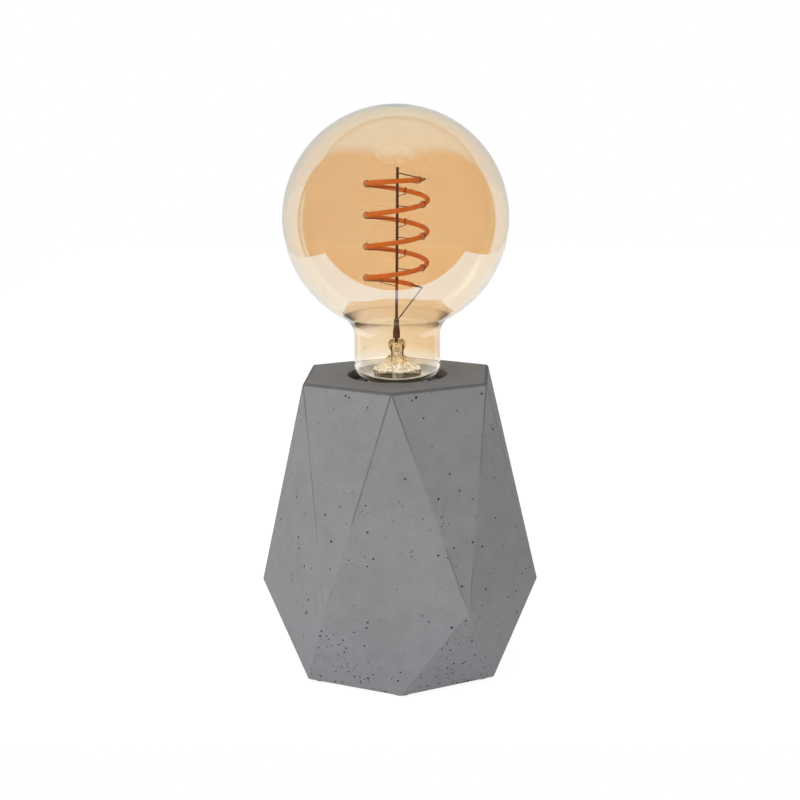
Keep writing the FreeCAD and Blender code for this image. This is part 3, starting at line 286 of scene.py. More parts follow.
def tinted(colour, shares):
    """A colour with its parts changed each by its own share."""
    return tuple(part * share for part, share in zip(colour, shares)) + (1.0,)


class Nodes:
    """A node tree and the short calls that fill it. Inputs are values or other nodes' outputs."""

    def __init__(self, tree):
        self.tree = tree

    def fill(self, sockets, values):
        for name, value in values.items():
            if isinstance(value, bpy.types.NodeSocket):
                self.tree.links.new(value, sockets[name])
            else:
                sockets[name].default_value = value

    def add(self, kind, inputs=None, **settings):
        """Adds a shader node and gives its outputs."""
        made = self.tree.nodes.new("ShaderNode" + kind)
        for name, value in settings.items():
            setattr(made, name, value)
        self.fill(made.inputs, inputs or {})
        return made.outputs

    def math(self, operation, first, second=0.0):
        return self.add("Math", {0: first, 1: second}, operation=operation)[0]

    def times(self, first, *others):
        for other in others:
            first = self.math("MULTIPLY", first, other)
        return first

    def above(self, value, limit):
        return self.math("GREATER_THAN", value, limit)

    def largest(self, first, second):
        return self.math("MAXIMUM", first, second)

    def without(self, first, second):
        return self.math("SUBTRACT", first, second)

    def round_one(self, value, middle, depth):
        """A tone round 1 from a value round its middle."""
        return self.math("ADD", self.times(self.without(value, middle), depth), 1.0)

    def ramp(self, value, low, high, to_low=0.0, to_high=1.0):
        return self.add("MapRange", {
            "Value": value, "From Min": low, "From Max": high, "To Min": to_low, "To Max": to_high,
        }, interpolation_type="SMOOTHSTEP")["Result"]

    def falling(self, value, low, high):
        return self.ramp(value, low, high, 1.0, 0.0)

    def band(self, value, rise_from, rise_to, fall_from, fall_to):
        """1 between the rise and the fall, and soft at both ends."""
        return self.times(self.ramp(value, rise_from, rise_to), self.falling(value, fall_from, fall_to))

    def mix(self, factor, first, second):
        return self.add("Mix", {0: factor, 2: first, 3: second})[0]

    def blend(self, factor, first, second, kind="MIX"):
        """A colour between two colours."""
        return self.add("Mix", {0: factor, 6: first, 7: second}, data_type="RGBA", blend_type=kind)[2]

    def grey(self, tone):
        return self.add("CombineColor", {0: tone, 1: tone, 2: tone})["Color"]

    def noise(self, vector, scale, detail, **more):
        return self.add("TexNoise", {"Vector": vector, "Scale": scale, "Detail": detail, **more})["Fac"]

    def stretched(self, vector, scale):
        return self.add("Mapping", {"Vector": vector, "Scale": scale})["Vector"]

    def split(self, vector):
        return list(self.add("SeparateXYZ", {"Vector": vector}))

    def shaders(self, factor, first, second):
        return self.add("MixShader", {0: factor, 1: first, 2: second})[0]

    def far_wall(self, rays):
        """1 for rays that the far wall of a hollow glass has thrown back."""
        return self.times(self.above(rays["Transmission Depth"], 3.5),
                          self.above(rays["Glossy Depth"], 0.5))


def new_effect(name, takes, *gives):
    """An empty node group; takes maps names to defaults, with None for a vector."""
    group = bpy.data.node_groups.new(name, "ShaderNodeTree")
    labels = [(label, "INPUT", default) for label, default in takes.items()]
    for label, direction, default in labels + [(label, "OUTPUT", 0.0) for label in gives]:
        kind = "NodeSocketVector" if default is None else "NodeSocketFloat"
        made = group.interface.new_socket(name=label, in_out=direction, socket_type=kind)
        if default is not None:
            made.default_value = default
    inner, outer = group.nodes.new("NodeGroupInput"), group.nodes.new("NodeGroupOutput")
    return Nodes(group), inner.outputs, outer.inputs


def clouding():
    """Soft uneven tone, as dried cement paste or worn moulding has."""
    nodes, takes, gives = new_effect("Clouding", {"Vector": None, "Scale": 40.0, "Depth": 0.1}, "Tone")
    wide = nodes.noise(takes["Vector"], takes["Scale"], 4.0, Roughness=0.55)
    small = nodes.noise(takes["Vector"], nodes.times(takes["Scale"], 5.3), 3.0)
    nodes.fill(gives, {"Tone": nodes.round_one(nodes.math("ADD", wide, small), 1.0, takes["Depth"])})


def grain():
    """Fine grain as a height and as a light and dark speckle."""
    nodes, takes, gives = new_effect(
        "Grain", {"Vector": None, "Scale": 2500.0, "Speckle": 0.1}, "Height", "Tone")
    fine = nodes.noise(takes["Vector"], takes["Scale"], 3.0, Roughness=0.7)
    nodes.fill(gives, {"Height": fine, "Tone": nodes.round_one(fine, 0.5, takes["Speckle"])})


def pinholes():
    """Tiny round holes: a mask that is 1 inside a hole."""
    nodes, takes, gives = new_effect(
        "Pinholes", {"Vector": None, "Scale": 300.0, "Size": 0.12, "Share": 0.2}, "Mask")
    cells = nodes.add("TexVoronoi", {
        "Vector": takes["Vector"], "Scale": takes["Scale"], "Randomness": 1.0}, feature="F1")
    chance, size, _ = nodes.add("SeparateColor", {"Color": cells["Color"]})
    picked = nodes.math("LESS_THAN", chance, takes["Share"])
    inside = nodes.math("LESS_THAN", cells["Distance"], nodes.times(takes["Size"], size))
    nodes.fill(gives, {"Mask": nodes.times(picked, inside)})


def dust():
    """Thin dust on faces that look up."""
    nodes, takes, gives = new_effect("Dust", {"Vector": None, "Normal": None, "Amount": 0.2}, "Mask")
    up = nodes.split(takes["Normal"])[2]
    patches = nodes.ramp(nodes.noise(takes["Vector"], 350.0, 4.0), 0.35, 0.7)
    nodes.fill(gives, {"Mask": nodes.times(nodes.ramp(up, 0.3, 1.0), patches, takes["Amount"])})


def brushing():
    """Fine lines that run round the upright axis, as turning or drawing leaves."""
    nodes, takes, gives = new_effect(
        "Brushing", {"Vector": None, "Lines": 9000.0, "Depth": 0.2}, "Height", "Tone")
    lines = nodes.noise(nodes.stretched(takes["Vector"], (0.03, 0.03, 1.0)), takes["Lines"], 2.0)
    nodes.fill(gives, {"Height": lines, "Tone": nodes.round_one(lines, 0.5, takes["Depth"])})


EFFECTS = {
    "Clouding": clouding, "Grain": grain, "Pinholes": pinholes, "Dust": dust, "Brushing": brushing,
}


class Look(Nodes):
    """A material: its nodes, its shader's sockets and the place of each point on the piece."""

    def __init__(self, name):
        self.material = bpy.data.materials.new(name)
        self.material.use_nodes = True
        super().__init__(self.material.node_tree)
        self.shader = self.tree.nodes["Principled BSDF"]
        self.place = self.add("TexCoord")["Object"]
        self.axes = None

    def set(self, **values):
        """Fills the shader's sockets; Base_Color stands for Base Color."""
        self.fill(self.shader.inputs, {name.replace("_", " "): value for name, value in values.items()})

    def effect(self, name, **inputs):
        """Places a shared effect, building its group the first time."""
        if name not in bpy.data.node_groups:
            EFFECTS[name]()
        made = self.tree.nodes.new("ShaderNodeGroup")
        made.node_tree = bpy.data.node_groups[name]
        self.fill(made.inputs, {"Vector": self.place, **inputs})
        return made.outputs

    def axis(self, number):
        if not self.axes:
            self.axes = self.split(self.place)
        return self.axes[number]

    def rises(self, low_mm, high_mm, to_low=0.0, to_high=1.0):
        """A ramp over the height on the piece, in millimetres."""
        return self.ramp(self.axis(2), low_mm * MM, high_mm * MM, to_low, to_high)

    def height_band(self, *heights_mm):
        return self.band(self.axis(2), *(height * MM for height in heights_mm))

    def across(self, low_mm, high_mm, to_low=0.0, to_high=1.0):
        """A ramp from the left of the piece to its right, in millimetres."""
        return self.ramp(self.axis(0), low_mm * MM, high_mm * MM, to_low, to_high)

    def edge_on(self, low, high, to_low=0.0):
        """A ramp that is 1 where the surface is seen along its length."""
        return self.ramp(self.add("LayerWeight", {"Blend": 0.5})["Facing"], low, high, to_low)

    def toned(self, colour, *tones):
        """A colour multiplied by one or more tones around 1."""
        for tone in tones:
            colour = self.blend(1.0, colour, self.grey(tone), "MULTIPLY")
        return colour

    def bump(self, height, distance, strength=1.0):
        made = self.add("Bump", {"Height": height, "Distance": distance, "Strength": strength})
        self.set(Normal=made["Normal"])

    def let_light_through(self, colour):
        """Lets light reach what the glass covers: shadow rays pass tinted."""
        clear = self.add("BsdfTransparent", {"Color": shaded(colour)})["BSDF"]
        surface = self.shaders(self.add("LightPath")["Is Shadow Ray"], self.shader.outputs["BSDF"], clear)
        self.tree.links.new(surface, self.tree.nodes["Material Output"].inputs["Surface"])


def concrete(tone, top_tone):
    """Cast concrete: clouded grey, fine grain, pinholes, darker edges and a browner top, with painted
    shade in the pinholes and the lamp's hole, and painted bounce light on the lower sides.

    In mirror images the top has a painted glow towards its outline, as a pale table round it would light
    it.
    """
    look = Look("Concrete")
    hole_rim = (21.2 * MM, 21.8 * MM)
    hole_depth = (CASTING_TOP - 7 * MM, CASTING_TOP - 0.5 * MM)
    lit_outline = (34 * MM, 51 * MM)
    cloud = look.effect("Clouding", Scale=28.0, Depth=0.22)
    specks = look.effect("Grain", Scale=1500.0, Speckle=0.3)
    holes = look.effect("Pinholes", Scale=420.0, Size=0.16, Share=0.12)["Mask"]
    x, y, z = (look.axis(number) for number in range(3))
    up = look.split(look.add("NewGeometry")["Normal"])[2]
    # Painted light: the lower sides are lighter and bluer, as light thrown up from the table would make
    # them.
    cool = look.blend(look.falling(z, 0.0, CASTING_TOP), shaded(tone), tinted(tone, (1.08, 1.07, 1.13)))
    base = look.blend(look.ramp(up, 0.6, 0.95), cool, shaded(top_tone))
    base = look.toned(base, cloud["Tone"], specks["Tone"])

    edge = look.add("Attribute", attribute_name="edge_line")["Fac"]
    uneven = look.largest(look.ramp(look.noise(look.place, 22.0, 2.0), 0.46, 0.6, 0.0, 0.55),
                          look.ramp(z, 0.70 * CASTING_TOP, 0.94 * CASTING_TOP, 0.0, 0.75))
    above_waist = look.ramp(z, 0.28 * CASTING_TOP, 0.4 * CASTING_TOP, 0.12, 1.0)
    # Darkens the rounded strips between facets in patches, most near the top and above the waist.
    worn = look.times(edge, look.times(uneven, above_waist))
    base = look.blend(worn, base, shaded(tone, 0.45))
    # Painted shade: the pinholes are darkened, as shade in a small hole would be.
    base = look.blend(look.times(holes, 0.55), base, shaded(tone, 0.25))

    level = look.add("CombineXYZ", {0: x, 1: y})["Vector"]
    away = look.add("VectorMath", {0: level}, operation="LENGTH")["Value"]
    # Painted shade: the wall of the lamp's hole darkens to near black below its edge.
    recess = look.times(look.ramp(z, *hole_depth, 0.75, 0.1), look.falling(away, *hole_rim))
    base = look.blend(recess, base, (0.02, 0.018, 0.016, 1.0))

    # Painted light: in mirror images the top glows pale towards its outline.
    rays = look.add("LightPath")
    mirrored = look.without(look.above(rays["Glossy Depth"], 0.5), look.far_wall(rays))
    outward = look.times(look.ramp(up, 0.3, 0.6), look.ramp(away, *lit_outline))
    shine = look.blend(look.times(mirrored, outward), BLACK, (0.85, 0.85, 0.85, 1.0))
    look.set(Base_Color=base, Emission_Color=shine, Emission_Strength=1.0, Specular_IOR_Level=0.35,
             Roughness=look.ramp(cloud["Tone"], 0.9, 1.1, 0.78, 0.9))
    look.bump(look.without(specks["Height"], look.times(holes, 2.0)), 0.05 * MM, 0.6)
    return look.material


def pore_concrete(tone):
    """The rougher inside of a pore, darkened by painted shade."""
    look = Look("Pore concrete")
    specks = look.effect("Grain", Scale=3500.0, Speckle=0.4)
    look.set(Base_Color=look.toned(shaded(tone, 0.3), specks["Tone"]), Roughness=0.95,
             Specular_IOR_Level=0.2)
    look.bump(specks["Height"], 0.05 * MM)
    return look.material


def plastic(name, colour, roughness, dustiness=0.12, speckle=0.1, sheen=False):
    """Moulded plastic or rubber: fine grain, a little clouding and dust on top."""
    look = Look(name)
    cloud = look.effect("Clouding", Scale=60.0, Depth=0.2)["Tone"]
    specks = look.effect("Grain", Scale=1800.0, Speckle=speckle)
    dusty = look.effect("Dust", Normal=look.add("NewGeometry")["Normal"], Amount=dustiness)["Mask"]
    base = look.toned(shaded(colour), cloud, specks["Tone"])
    look.set(Base_Color=look.blend(dusty, base, (0.42, 0.40, 0.37, 1.0)),
             Roughness=look.ramp(cloud, 0.9, 1.1, roughness - 0.06, roughness + 0.08))
    look.bump(specks["Height"], 0.02 * MM, 0.5)
    if sheen:
        add_sheen(look)
    return look.material


def metal(name, colour, roughness, tarnish=0.3, sheen=False):
    """Turned or drawn metal: fine lines, and duller, darker patches."""
    look = Look(name)
    brushed = look.effect("Brushing", Lines=9000.0, Depth=0.25)
    cloud = look.effect("Clouding", Scale=180.0, Depth=1.0)["Tone"]
    dull = look.ramp(cloud, 0.85, 1.25, 0.0, tarnish)
    base = look.blend(dull, shaded(colour), shaded(colour, 0.45))
    look.set(Base_Color=look.toned(base, brushed["Tone"]), Metallic=1.0,
             Roughness=look.ramp(cloud, 0.8, 1.3, roughness, roughness + 0.2))
    look.bump(brushed["Height"], 0.01 * MM, 0.4)
    if sheen:
        add_sheen(look)
    return look.material


def add_sheen(look):
    """A faint warm painted glow in a band of height, standing in for the lit table that shines up through
    the globe.
    """
    band = look.height_band(158.5, 161.5, 167.5, 169.0)
    look.set(Emission_Color=look.blend(band, BLACK, (0.17, 0.03, 0.0, 1.0)), Emission_Strength=1.0)


def ceramic(name, colour, roughness, speckle):
    """Glazed or matt fired ware and cement."""
    look = Look(name)
    cloud = look.effect("Clouding", Scale=90.0, Depth=0.2)
    specks = look.effect("Grain", Scale=2200.0, Speckle=speckle)
    holes = look.effect("Pinholes", Scale=700.0, Size=0.14, Share=0.08)
    base = look.toned(shaded(colour), cloud["Tone"], specks["Tone"])
    # Painted shade: the pinholes are darkened.
    look.set(Base_Color=look.blend(holes["Mask"], base, shaded(colour, 0.4)),
             Roughness=look.ramp(specks["Height"], 0.3, 0.7, roughness, roughness + 0.1))
    look.bump(specks["Height"], 0.02 * MM, 0.4)
    return look.material


def phosphor(colour, glow):
    """Orange silicone that holds phosphor: mottled, with a painted glow that brightens it though the lamp
    is off.
    """
    look = Look("Phosphor")
    mottle = look.effect("Clouding", Scale=420.0, Depth=0.5)["Tone"]
    specks = look.effect("Grain", Scale=5000.0, Speckle=0.2)
    orange = look.toned(shaded(colour), mottle, specks["Tone"])
    look.set(Base_Color=orange, Emission_Color=orange, Emission_Strength=glow,
             Roughness=look.ramp(mottle, 0.8, 1.2, 0.38, 0.55), Subsurface_Weight=0.3,
             Subsurface_Radius=(0.8, 0.35, 0.1), Subsurface_Scale=0.6 * MM)
    look.bump(specks["Height"], 0.02 * MM, 0.4)
    return look.material


def amber_glass(settings):
    """Amber glass with a mirror coat that thins out down the neck."""
    look = Look("Amber glass")
    wave = look.noise(look.place, 18.0, 1.0)
    low, high = look.rises(133.6, 138.0), look.rises(149, 167)
    amber = look.blend(look.ramp(wave, 0.3, 0.7), shaded(settings.tint), shaded(settings.tint, 0.985))
    amber = look.blend(look.across(-20, 40, 0.0, 0.8), amber, tinted(settings.tint, (1.0, 0.985, 0.955)))
    warm_neck = tinted(settings.neck_tint, (0.975, 0.915, 0.845))
    neck = look.blend(look.across(-13, 8), shaded(settings.neck_tint), warm_neck)
    tint = look.blend(high, look.blend(low, (0.985, 0.98, 0.96, 1.0), neck), amber)
    # Painted shade: a dark brown band round the neck's upper curve, densest where the glass is seen
    # edge-on, where the thick curved glass looks dark.
    ring = look.times(look.height_band(148.0, 151.0, 151.5, 155.0), look.edge_on(0.35, 0.85, 0.03))
    tint = look.blend(ring, tint, (0.30, 0.17, 0.07, 1.0))
    spots = look.ramp(look.noise(look.place, 500.0, 3.0), 0.4, 0.6, 0.3, 1.0)
    tint = look.blend(look.times(look.rises(241.5, 242.1), spots), tint, (0.60, 0.62, 0.58, 1.0))
    mirror = look.blend(low, (0.17, 0.17, 0.17, 1.0), (0.17, 0.27, 0.37, 1.0))
    look.set(Base_Color=tint, Specular_Tint=look.blend(high, mirror, shaded(settings.mirror)),
             Transmission_Weight=1.0, IOR=settings.coat_index, Roughness=0.0)
    look.bump(wave, 0.05 * MM, 0.2)
    look.let_light_through((0.95, 0.86, 0.74))
    return look.material


def foot_glass(strength):
    """Clear glass under the coat: painted pale light where it curves in to the stem, and a painted
    highlight at its outline.
    """
    look = Look("Foot glass")
    clear = (0.985, 0.98, 0.96)
    wave = look.noise(look.place, 90.0, 2.0)
    facing_us = look.without(1.0, look.add("NewGeometry")["Backfacing"])
    inner = look.add("Attribute", attribute_name="inner_wall")["Fac"]
    far, near = look.times(inner, facing_us), look.times(look.without(1.0, inner), facing_us)
    patchy = look.ramp(look.noise(look.place, 210.0, 2.0), 0.35, 0.65, 0.8, 1.1)
    # Painted reflection: a pale patchy band on the far wall's inside, low in the foot.
    band = look.times(look.height_band(126.7, 127.4, 132.4, 133.8), patchy, far)
    beige = look.blend(look.rises(130.5, 130.8), (0.38, 0.33, 0.26, 1.0), (0.62, 0.59, 0.53, 1.0))
    # Painted highlight along the outline of the near wall, and a faint painted glow at its foot.
    rim = look.times(look.edge_on(0.5, 0.8), look.rises(128.4, 130.0), near)
    foot = look.times(near, look.rises(130.6, 131.6, 0.06, 0.0))
    shine = look.blend(rim, look.blend(band, BLACK, beige), (0.42, 0.40, 0.37, 1.0))
    look.set(Base_Color=look.blend(wave, shaded(clear), shaded(clear, 0.93)),
             Emission_Color=look.blend(foot, shine, (0.62, 0.54, 0.42, 1.0)), Emission_Strength=strength,
             Transmission_Weight=1.0, IOR=1.5, Roughness=0.0)
    look.bump(wave, 0.1 * MM, 0.6)
    look.let_light_through((0.96, 0.95, 0.93))
    return look.material


def brown_seam():
    """Painted shade: a thin dark brown ring, dense where it is seen along its length; its two sides share
    the cover.
    """
    look = Look("Brown seam")
    dense = look.times(look.edge_on(0.38, 0.75, 0.03), look.across(-10, 15, 1.0, 0.6))
    patchy = look.noise(look.place, 120.0, 1.0)
    cover = look.times(dense, look.height_band(150.2, 151.2, 153.5, 154.3),
                       look.ramp(patchy, 0.35, 0.65, 0.7, 1.0))
    through_one_side = look.math("POWER", look.without(1.0, cover), 0.5)
    look.set(Alpha=look.without(1.0, through_one_side), Roughness=0.7, Specular_IOR_Level=0.1,
             Base_Color=look.blend(patchy, (0.13, 0.065, 0.015, 1.0), (0.20, 0.11, 0.03, 1.0)))
    return look.material


def crackled_glass(name, colour, glow, depth):
    """Golden glass full of cracks: a painted glow of pale facets between dark lines."""
    look = Look(name)
    cells = look.add("TexVoronoi", {"Vector": look.place, "Scale": 520.0},
                     feature="DISTANCE_TO_EDGE")["Distance"]
    pale = look.ramp(look.noise(look.place, 700.0, 1.0), 0.35, 0.6)
    above = look.rises(130.9, 131.5)
    crack = look.times(look.falling(cells, 0.02, 0.12), depth, above)
    shine = look.blend(pale, shaded(colour, 0.6 - 0.45 * depth), shaded(colour))
    shine = look.blend(crack, shine, (0.04, 0.03, 0.015, 1.0))
    look.set(Base_Color=look.blend(crack, (0.96, 0.90, 0.76, 1.0), (0.50, 0.38, 0.22, 1.0)),
             Emission_Color=look.blend(above, BLACK, shine), Emission_Strength=glow,
             Transmission_Weight=1.0, IOR=1.3, Roughness=0.12)
    look.bump(look.times(cells, above), 0.3 * MM, 0.6)
    look.let_light_through((0.96, 0.95, 0.93))
    return look.material


def tube_glass():
    """Clear drawn glass with painted pale streaks of highlight along it."""
    look = Look("Tube glass")
    streaks = look.noise(look.stretched(look.place, (1.0, 1.0, 0.12)), 900.0, 1.0)
    shine = look.blend(look.ramp(streaks, 0.5, 0.62), (0.12, 0.13, 0.13, 1.0), (0.75, 0.80, 0.80, 1.0))
    look.set(Base_Color=(0.97, 0.98, 0.97, 1.0), Emission_Color=shine, Emission_Strength=0.17,
             Transmission_Weight=1.0, IOR=1.4, Roughness=0.03)
    look.bump(streaks, 0.1 * MM, 0.5)
    look.let_light_through((0.96, 0.95, 0.93))
    return look.material


def table_white(settings):
    """White to the eye, bright to the lamp above it, and clear from below."""
    look = Look("White table")
    rays = look.add("LightPath")
    paper = look.grey(look.ramp(look.noise(look.place, 900.0, 3.0), 0.3, 0.7, 0.83, 0.87))
    matt = look.add("BsdfDiffuse", {"Color": paper})[0]
    faint = look.add("BsdfDiffuse", {"Color": (0.22, 0.22, 0.22, 1.0)})[0]
    glow, dim, bounce = (look.add("Emission", {"Strength": strength})[0] for strength in (
        settings.floor_glow, settings.far_room, settings.floor_bounce))
    seen = look.shaders(look.far_wall(rays), look.add("AddShader", {0: faint, 1: glow})[0], dim)
    bright = look.add("AddShader", {0: matt, 1: bounce})[0]
    lit = look.shaders(rays["Is Diffuse Ray"], seen, bright)
    surface = look.shaders(look.add("NewGeometry")["Backfacing"], lit, look.add("BsdfTransparent")[0])
    look.tree.links.new(surface, look.tree.nodes["Material Output"].inputs["Surface"])
    return look.material


class LAMP_OT_stage(Operator):
    """Set the floor, the light and the camera round the lamp"""
    bl_idname = "lamp.stage"
    bl_label = "Set the stage"

    def execute(self, context):
        settings = context.scene.lamp_stage
        self.add_floor(settings)
        self.add_world(context, settings)
        self.add_light("Key", (-0.75, -0.82, 0.55), 0.9, settings.key_power)
        self.add_light("Fill", (1.15, -0.42, 0.42), 0.8, settings.fill_power)
        self.add_camera(context, settings)
        return {"FINISHED"}

    def add_floor(self, settings):
        deselect()
        middle = settings.floor_depth / 2 - settings.floor_front
        bpy.ops.mesh.primitive_plane_add(size=1, location=(0, middle, 0))
        floor = added("Floor", (settings.floor_width, settings.floor_depth, 1))
        floor.data.materials.append(table_white(settings))

    def add_world(self, context, settings):
        """White where the camera looks, a dim room with a lit backdrop in reflections."""
        world = bpy.data.worlds.new("Studio")
        context.scene.world = world
        world.use_nodes = True
        nodes = Nodes(world.node_tree)
        way = nodes.add("TexCoord")["Generated"]
        x, y, z = nodes.split(way)
        rays = nodes.add("LightPath")
        bounced = nodes.above(rays["Glossy Depth"], 0.5)
        card, overhead, inside = self.backdrop(nodes, way, settings)
        mirrored = nodes.math("ADD", nodes.largest(card, overhead), 0.04)
        mirrored = nodes.mix(nodes.far_wall(rays), mirrored, inside)
        scattered = nodes.above(rays["Diffuse Depth"], 0.5)
        unbent = nodes.without(1.0, nodes.largest(bounced, scattered))
        straight = nodes.largest(
            rays["Is Camera Ray"], nodes.times(rays["Is Transmission Ray"], unbent))
        soft = nodes.times(
            nodes.ramp(x, -1.0, 1.0, 1.12, 0.88), nodes.ramp(z, -0.6, 0.2, 2.15, 1.0), settings.ambient)
        warm = nodes.times(overhead, nodes.times(bounced, 1.6))
        nodes.fill(world.node_tree.nodes["Background"].inputs, {
            "Strength": nodes.mix(straight, nodes.mix(bounced, soft, mirrored), 1.0),
            "Color": nodes.blend(warm, WHITE, (0.9, 1.0, 0.84, 1.0))})

    def backdrop(self, nodes, way, settings):
        """What the globe mirrors: a card behind it, light overhead, and what its far wall sees.

        Their outlines are shares across and upwards of the way straight ahead, to the back.
        """
        x, y, z = nodes.split(way)
        ahead = nodes.largest(y, 0.001)
        across, high = nodes.math("DIVIDE", x, ahead), nodes.math("DIVIDE", z, ahead)
        behind = nodes.above(y, 0.02)
        slant = nodes.math("ADD", high, nodes.times(across, 0.22))
        card = nodes.times(nodes.band(across, -2.3, -2.0, 1.5, 1.75), nodes.falling(slant, 1.15, 1.3),
                           behind, settings.backdrop_shine)
        bowed = nodes.without(y, nodes.times(x, x, 1.3))
        overhead = nodes.times(nodes.ramp(bowed, -0.50, -0.10, 0.0, 0.60), nodes.ramp(z, 0.3, 0.5),
                               nodes.ramp(slant, 1.3, 1.9, 0.7, 1.0))
        streak = nodes.times(nodes.ramp(across, -3.9, -3.0), nodes.ramp(across, -2.7, -2.4, 0.5, 0.0),
                             behind, nodes.falling(high, 0.5, 0.8))
        left = nodes.band(across, -2.2, -1.7, -1.0, -0.7)
        right = nodes.times(nodes.ramp(across, 0.6, 0.9, 0.0, 0.4), nodes.falling(across, 1.2, 1.6))
        strip = nodes.times(nodes.band(high, 0.65, 0.82, 1.1, 1.35), nodes.largest(left, right), behind)
        room = nodes.times(nodes.ramp(nodes.noise(way, 2.2, 1.0), 0.35, 0.65, 0.5, 1.6), settings.far_room)
        room = nodes.largest(room, nodes.times(card, 0.8))
        return card, nodes.largest(overhead, streak), nodes.math("ADD", room, nodes.times(strip, 0.9))

    def add_light(self, name, place, size, power):
        deselect()
        aim = Vector((0, 0, CASTING_TOP / 2))
        turn = (aim - Vector(place)).to_track_quat("-Z", "Y").to_euler()
        bpy.ops.object.light_add(type="AREA", radius=size, location=place, rotation=turn)
        light = bpy.context.active_object
        light.name = name
        light.data.energy = power
        light.visible_glossy = False
        light.visible_transmission = False
        light.visible_camera = False

    def add_camera(self, context, settings):
        deselect()
        place, aim = Vector(settings.camera_place), Vector(settings.camera_aim)
        turn = (aim - place).to_track_quat("-Z", "Y")
        turn = turn @ Matrix.Rotation(-settings.camera_roll, 3, "Z").to_quaternion()
        bpy.ops.object.camera_add(location=place, rotation=turn.to_euler())
        camera = bpy.context.active_object
        camera.name = "Camera"
        camera.data.lens = settings.lens
        camera.data.sensor_width = 36.0
        context.scene.camera = camera
        context.scene.view_settings.view_transform = "Standard"


class LAMP_OT_casting(Operator):
    """Cast the faceted concrete base with its pores"""
    bl_idname = "lamp.casting"
    bl_label = "Cast the base"

    flat_area = 60 * MM * MM
    crowding = 9.0
    near_heart, new_heart = 0.35, 0.2
    pore_gap = 1.3
    batch = 150

    def execute(self, context):
        settings = context.scene.lamp_casting
        piece = copy_of("concrete_body", "Concrete_casting")
        piece.data.materials.append(concrete(settings.tone, settings.top_tone))
        self.mark_edges(piece.data)
        self.cut_pores(piece, settings)
        smooth(piece, 40)
        apply_modifier(piece, "WEIGHTED_NORMAL", keep_sharp=True)
        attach(piece, "lamp_base")
        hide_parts("concrete_body")
        return {"FINISHED"}

    def reach(self, face):
        """How far out a face is, as a share of the waist's corners."""
        return math.hypot(face.center.x, face.center.y) / CASTING_REACH

    def mark_edges(self, mesh):
        """Sets edge_line to 1 on the rounded strips between the flat facets."""
        facings = [tuple(round(part, 2) for part in face.normal) for face in mesh.polygons]
        areas = dict.fromkeys(facings, 0.0)
        for face, facing in zip(mesh.polygons, facings):
            areas[facing] += face.area
        mark = mesh.attributes.new("edge_line", "FLOAT", "FACE")
        for face, facing in zip(mesh.polygons, facings):
            mark.data[face.index].value = float(self.reach(face) > 0.5 and areas[facing] < self.flat_area)

    def beside(self, face, spot, draw):
        """A place near a pore on a large facet, in the facet's plane."""
        along = face.normal.orthogonal().normalized()
        turn = draw.uniform(0, 2 * math.pi)
        step = Matrix.Rotation(turn, 3, face.normal) @ along * draw.uniform(0.8, 4.0) * MM
        return spot + step if face.area > self.flat_area else None

    def start_cutter(self, number):
        """A speck below the lamp, open in edit mode, which the next batch of pores joins."""
        if number:
            finish_edit()
        deselect()
        bpy.ops.mesh.primitive_ico_sphere_add(
            subdivisions=1, radius=MM / 10, location=(0, 0, -MM * (1 + number)))
        cutter = added("Pore_cutter")
        bpy.ops.object.mode_set(mode="EDIT")
        return cutter

    def cut_pores(self, piece, settings):
        draw = random.Random(settings.seed)
        faces, weights = self.pored_faces(piece.data)
        cutters, placed = [], []
        heart = None
        for face in draw.choices(faces, weights, k=settings.pore_count):
            corners = [piece.data.vertices[k].co for k in face.vertices][:3]
            a, b = sorted((draw.random(), draw.random()))
            spot = corners[0] * a + corners[1] * (b - a) + corners[2] * (1 - b)
            if heart and draw.random() < self.near_heart:
                face, spot = heart[0], self.beside(*heart, draw)
                if spot is None:
                    continue
            elif draw.random() < self.new_heart:
                heart = (face, spot.copy())
            share = draw.random() ** 3.5
            radius = settings.smallest_pore + (settings.largest_pore - settings.smallest_pore) * share
            if any((spot - other).length < self.pore_gap * (radius + size) for other, size in placed):
                continue
            if len(placed) % self.batch == 0:
                cutters.append(self.start_cutter(len(cutters)))
            placed.append((spot, radius))
            stretch = tuple(draw.uniform(0.8, 1.25) for _ in range(3))
            bpy.ops.mesh.primitive_ico_sphere_add(
                subdivisions=2 if radius > settings.round_from else 1, radius=radius,
                location=spot + face.normal * radius * 0.15,
                rotation=(draw.uniform(0, 3), draw.uniform(0, 3), 0), scale=stretch)
        finish_edit()
        join(*cutters)
        cutters[0].data.materials.append(pore_concrete(settings.tone))
        apply_modifier(piece, "BOOLEAN", object=cutters[0], operation="DIFFERENCE", solver="EXACT",
                       material_mode="TRANSFER")
        bpy.data.objects.remove(cutters[0])

    def pored_faces(self, mesh):
        """The outer faces, and how many pores each draws: low side triangles have most."""
        faces, weights = [], []
        for face in mesh.polygons:
            marked = mesh.attributes["edge_line"].data[face.index].value
            if self.reach(face) <= 0.55 or abs(face.normal.z) > 0.6 or marked:
                continue
            azimuth = math.degrees(math.atan2(face.normal.y, face.normal.x)) % 60
            side_triangle = min(azimuth, 60 - azimuth) < 15
            low = face.center.z < 0.3 * CASTING_TOP
            faces.append(face)
            weights.append(face.area * (self.crowding if low and side_triangle else 1.0))
        return faces, weights


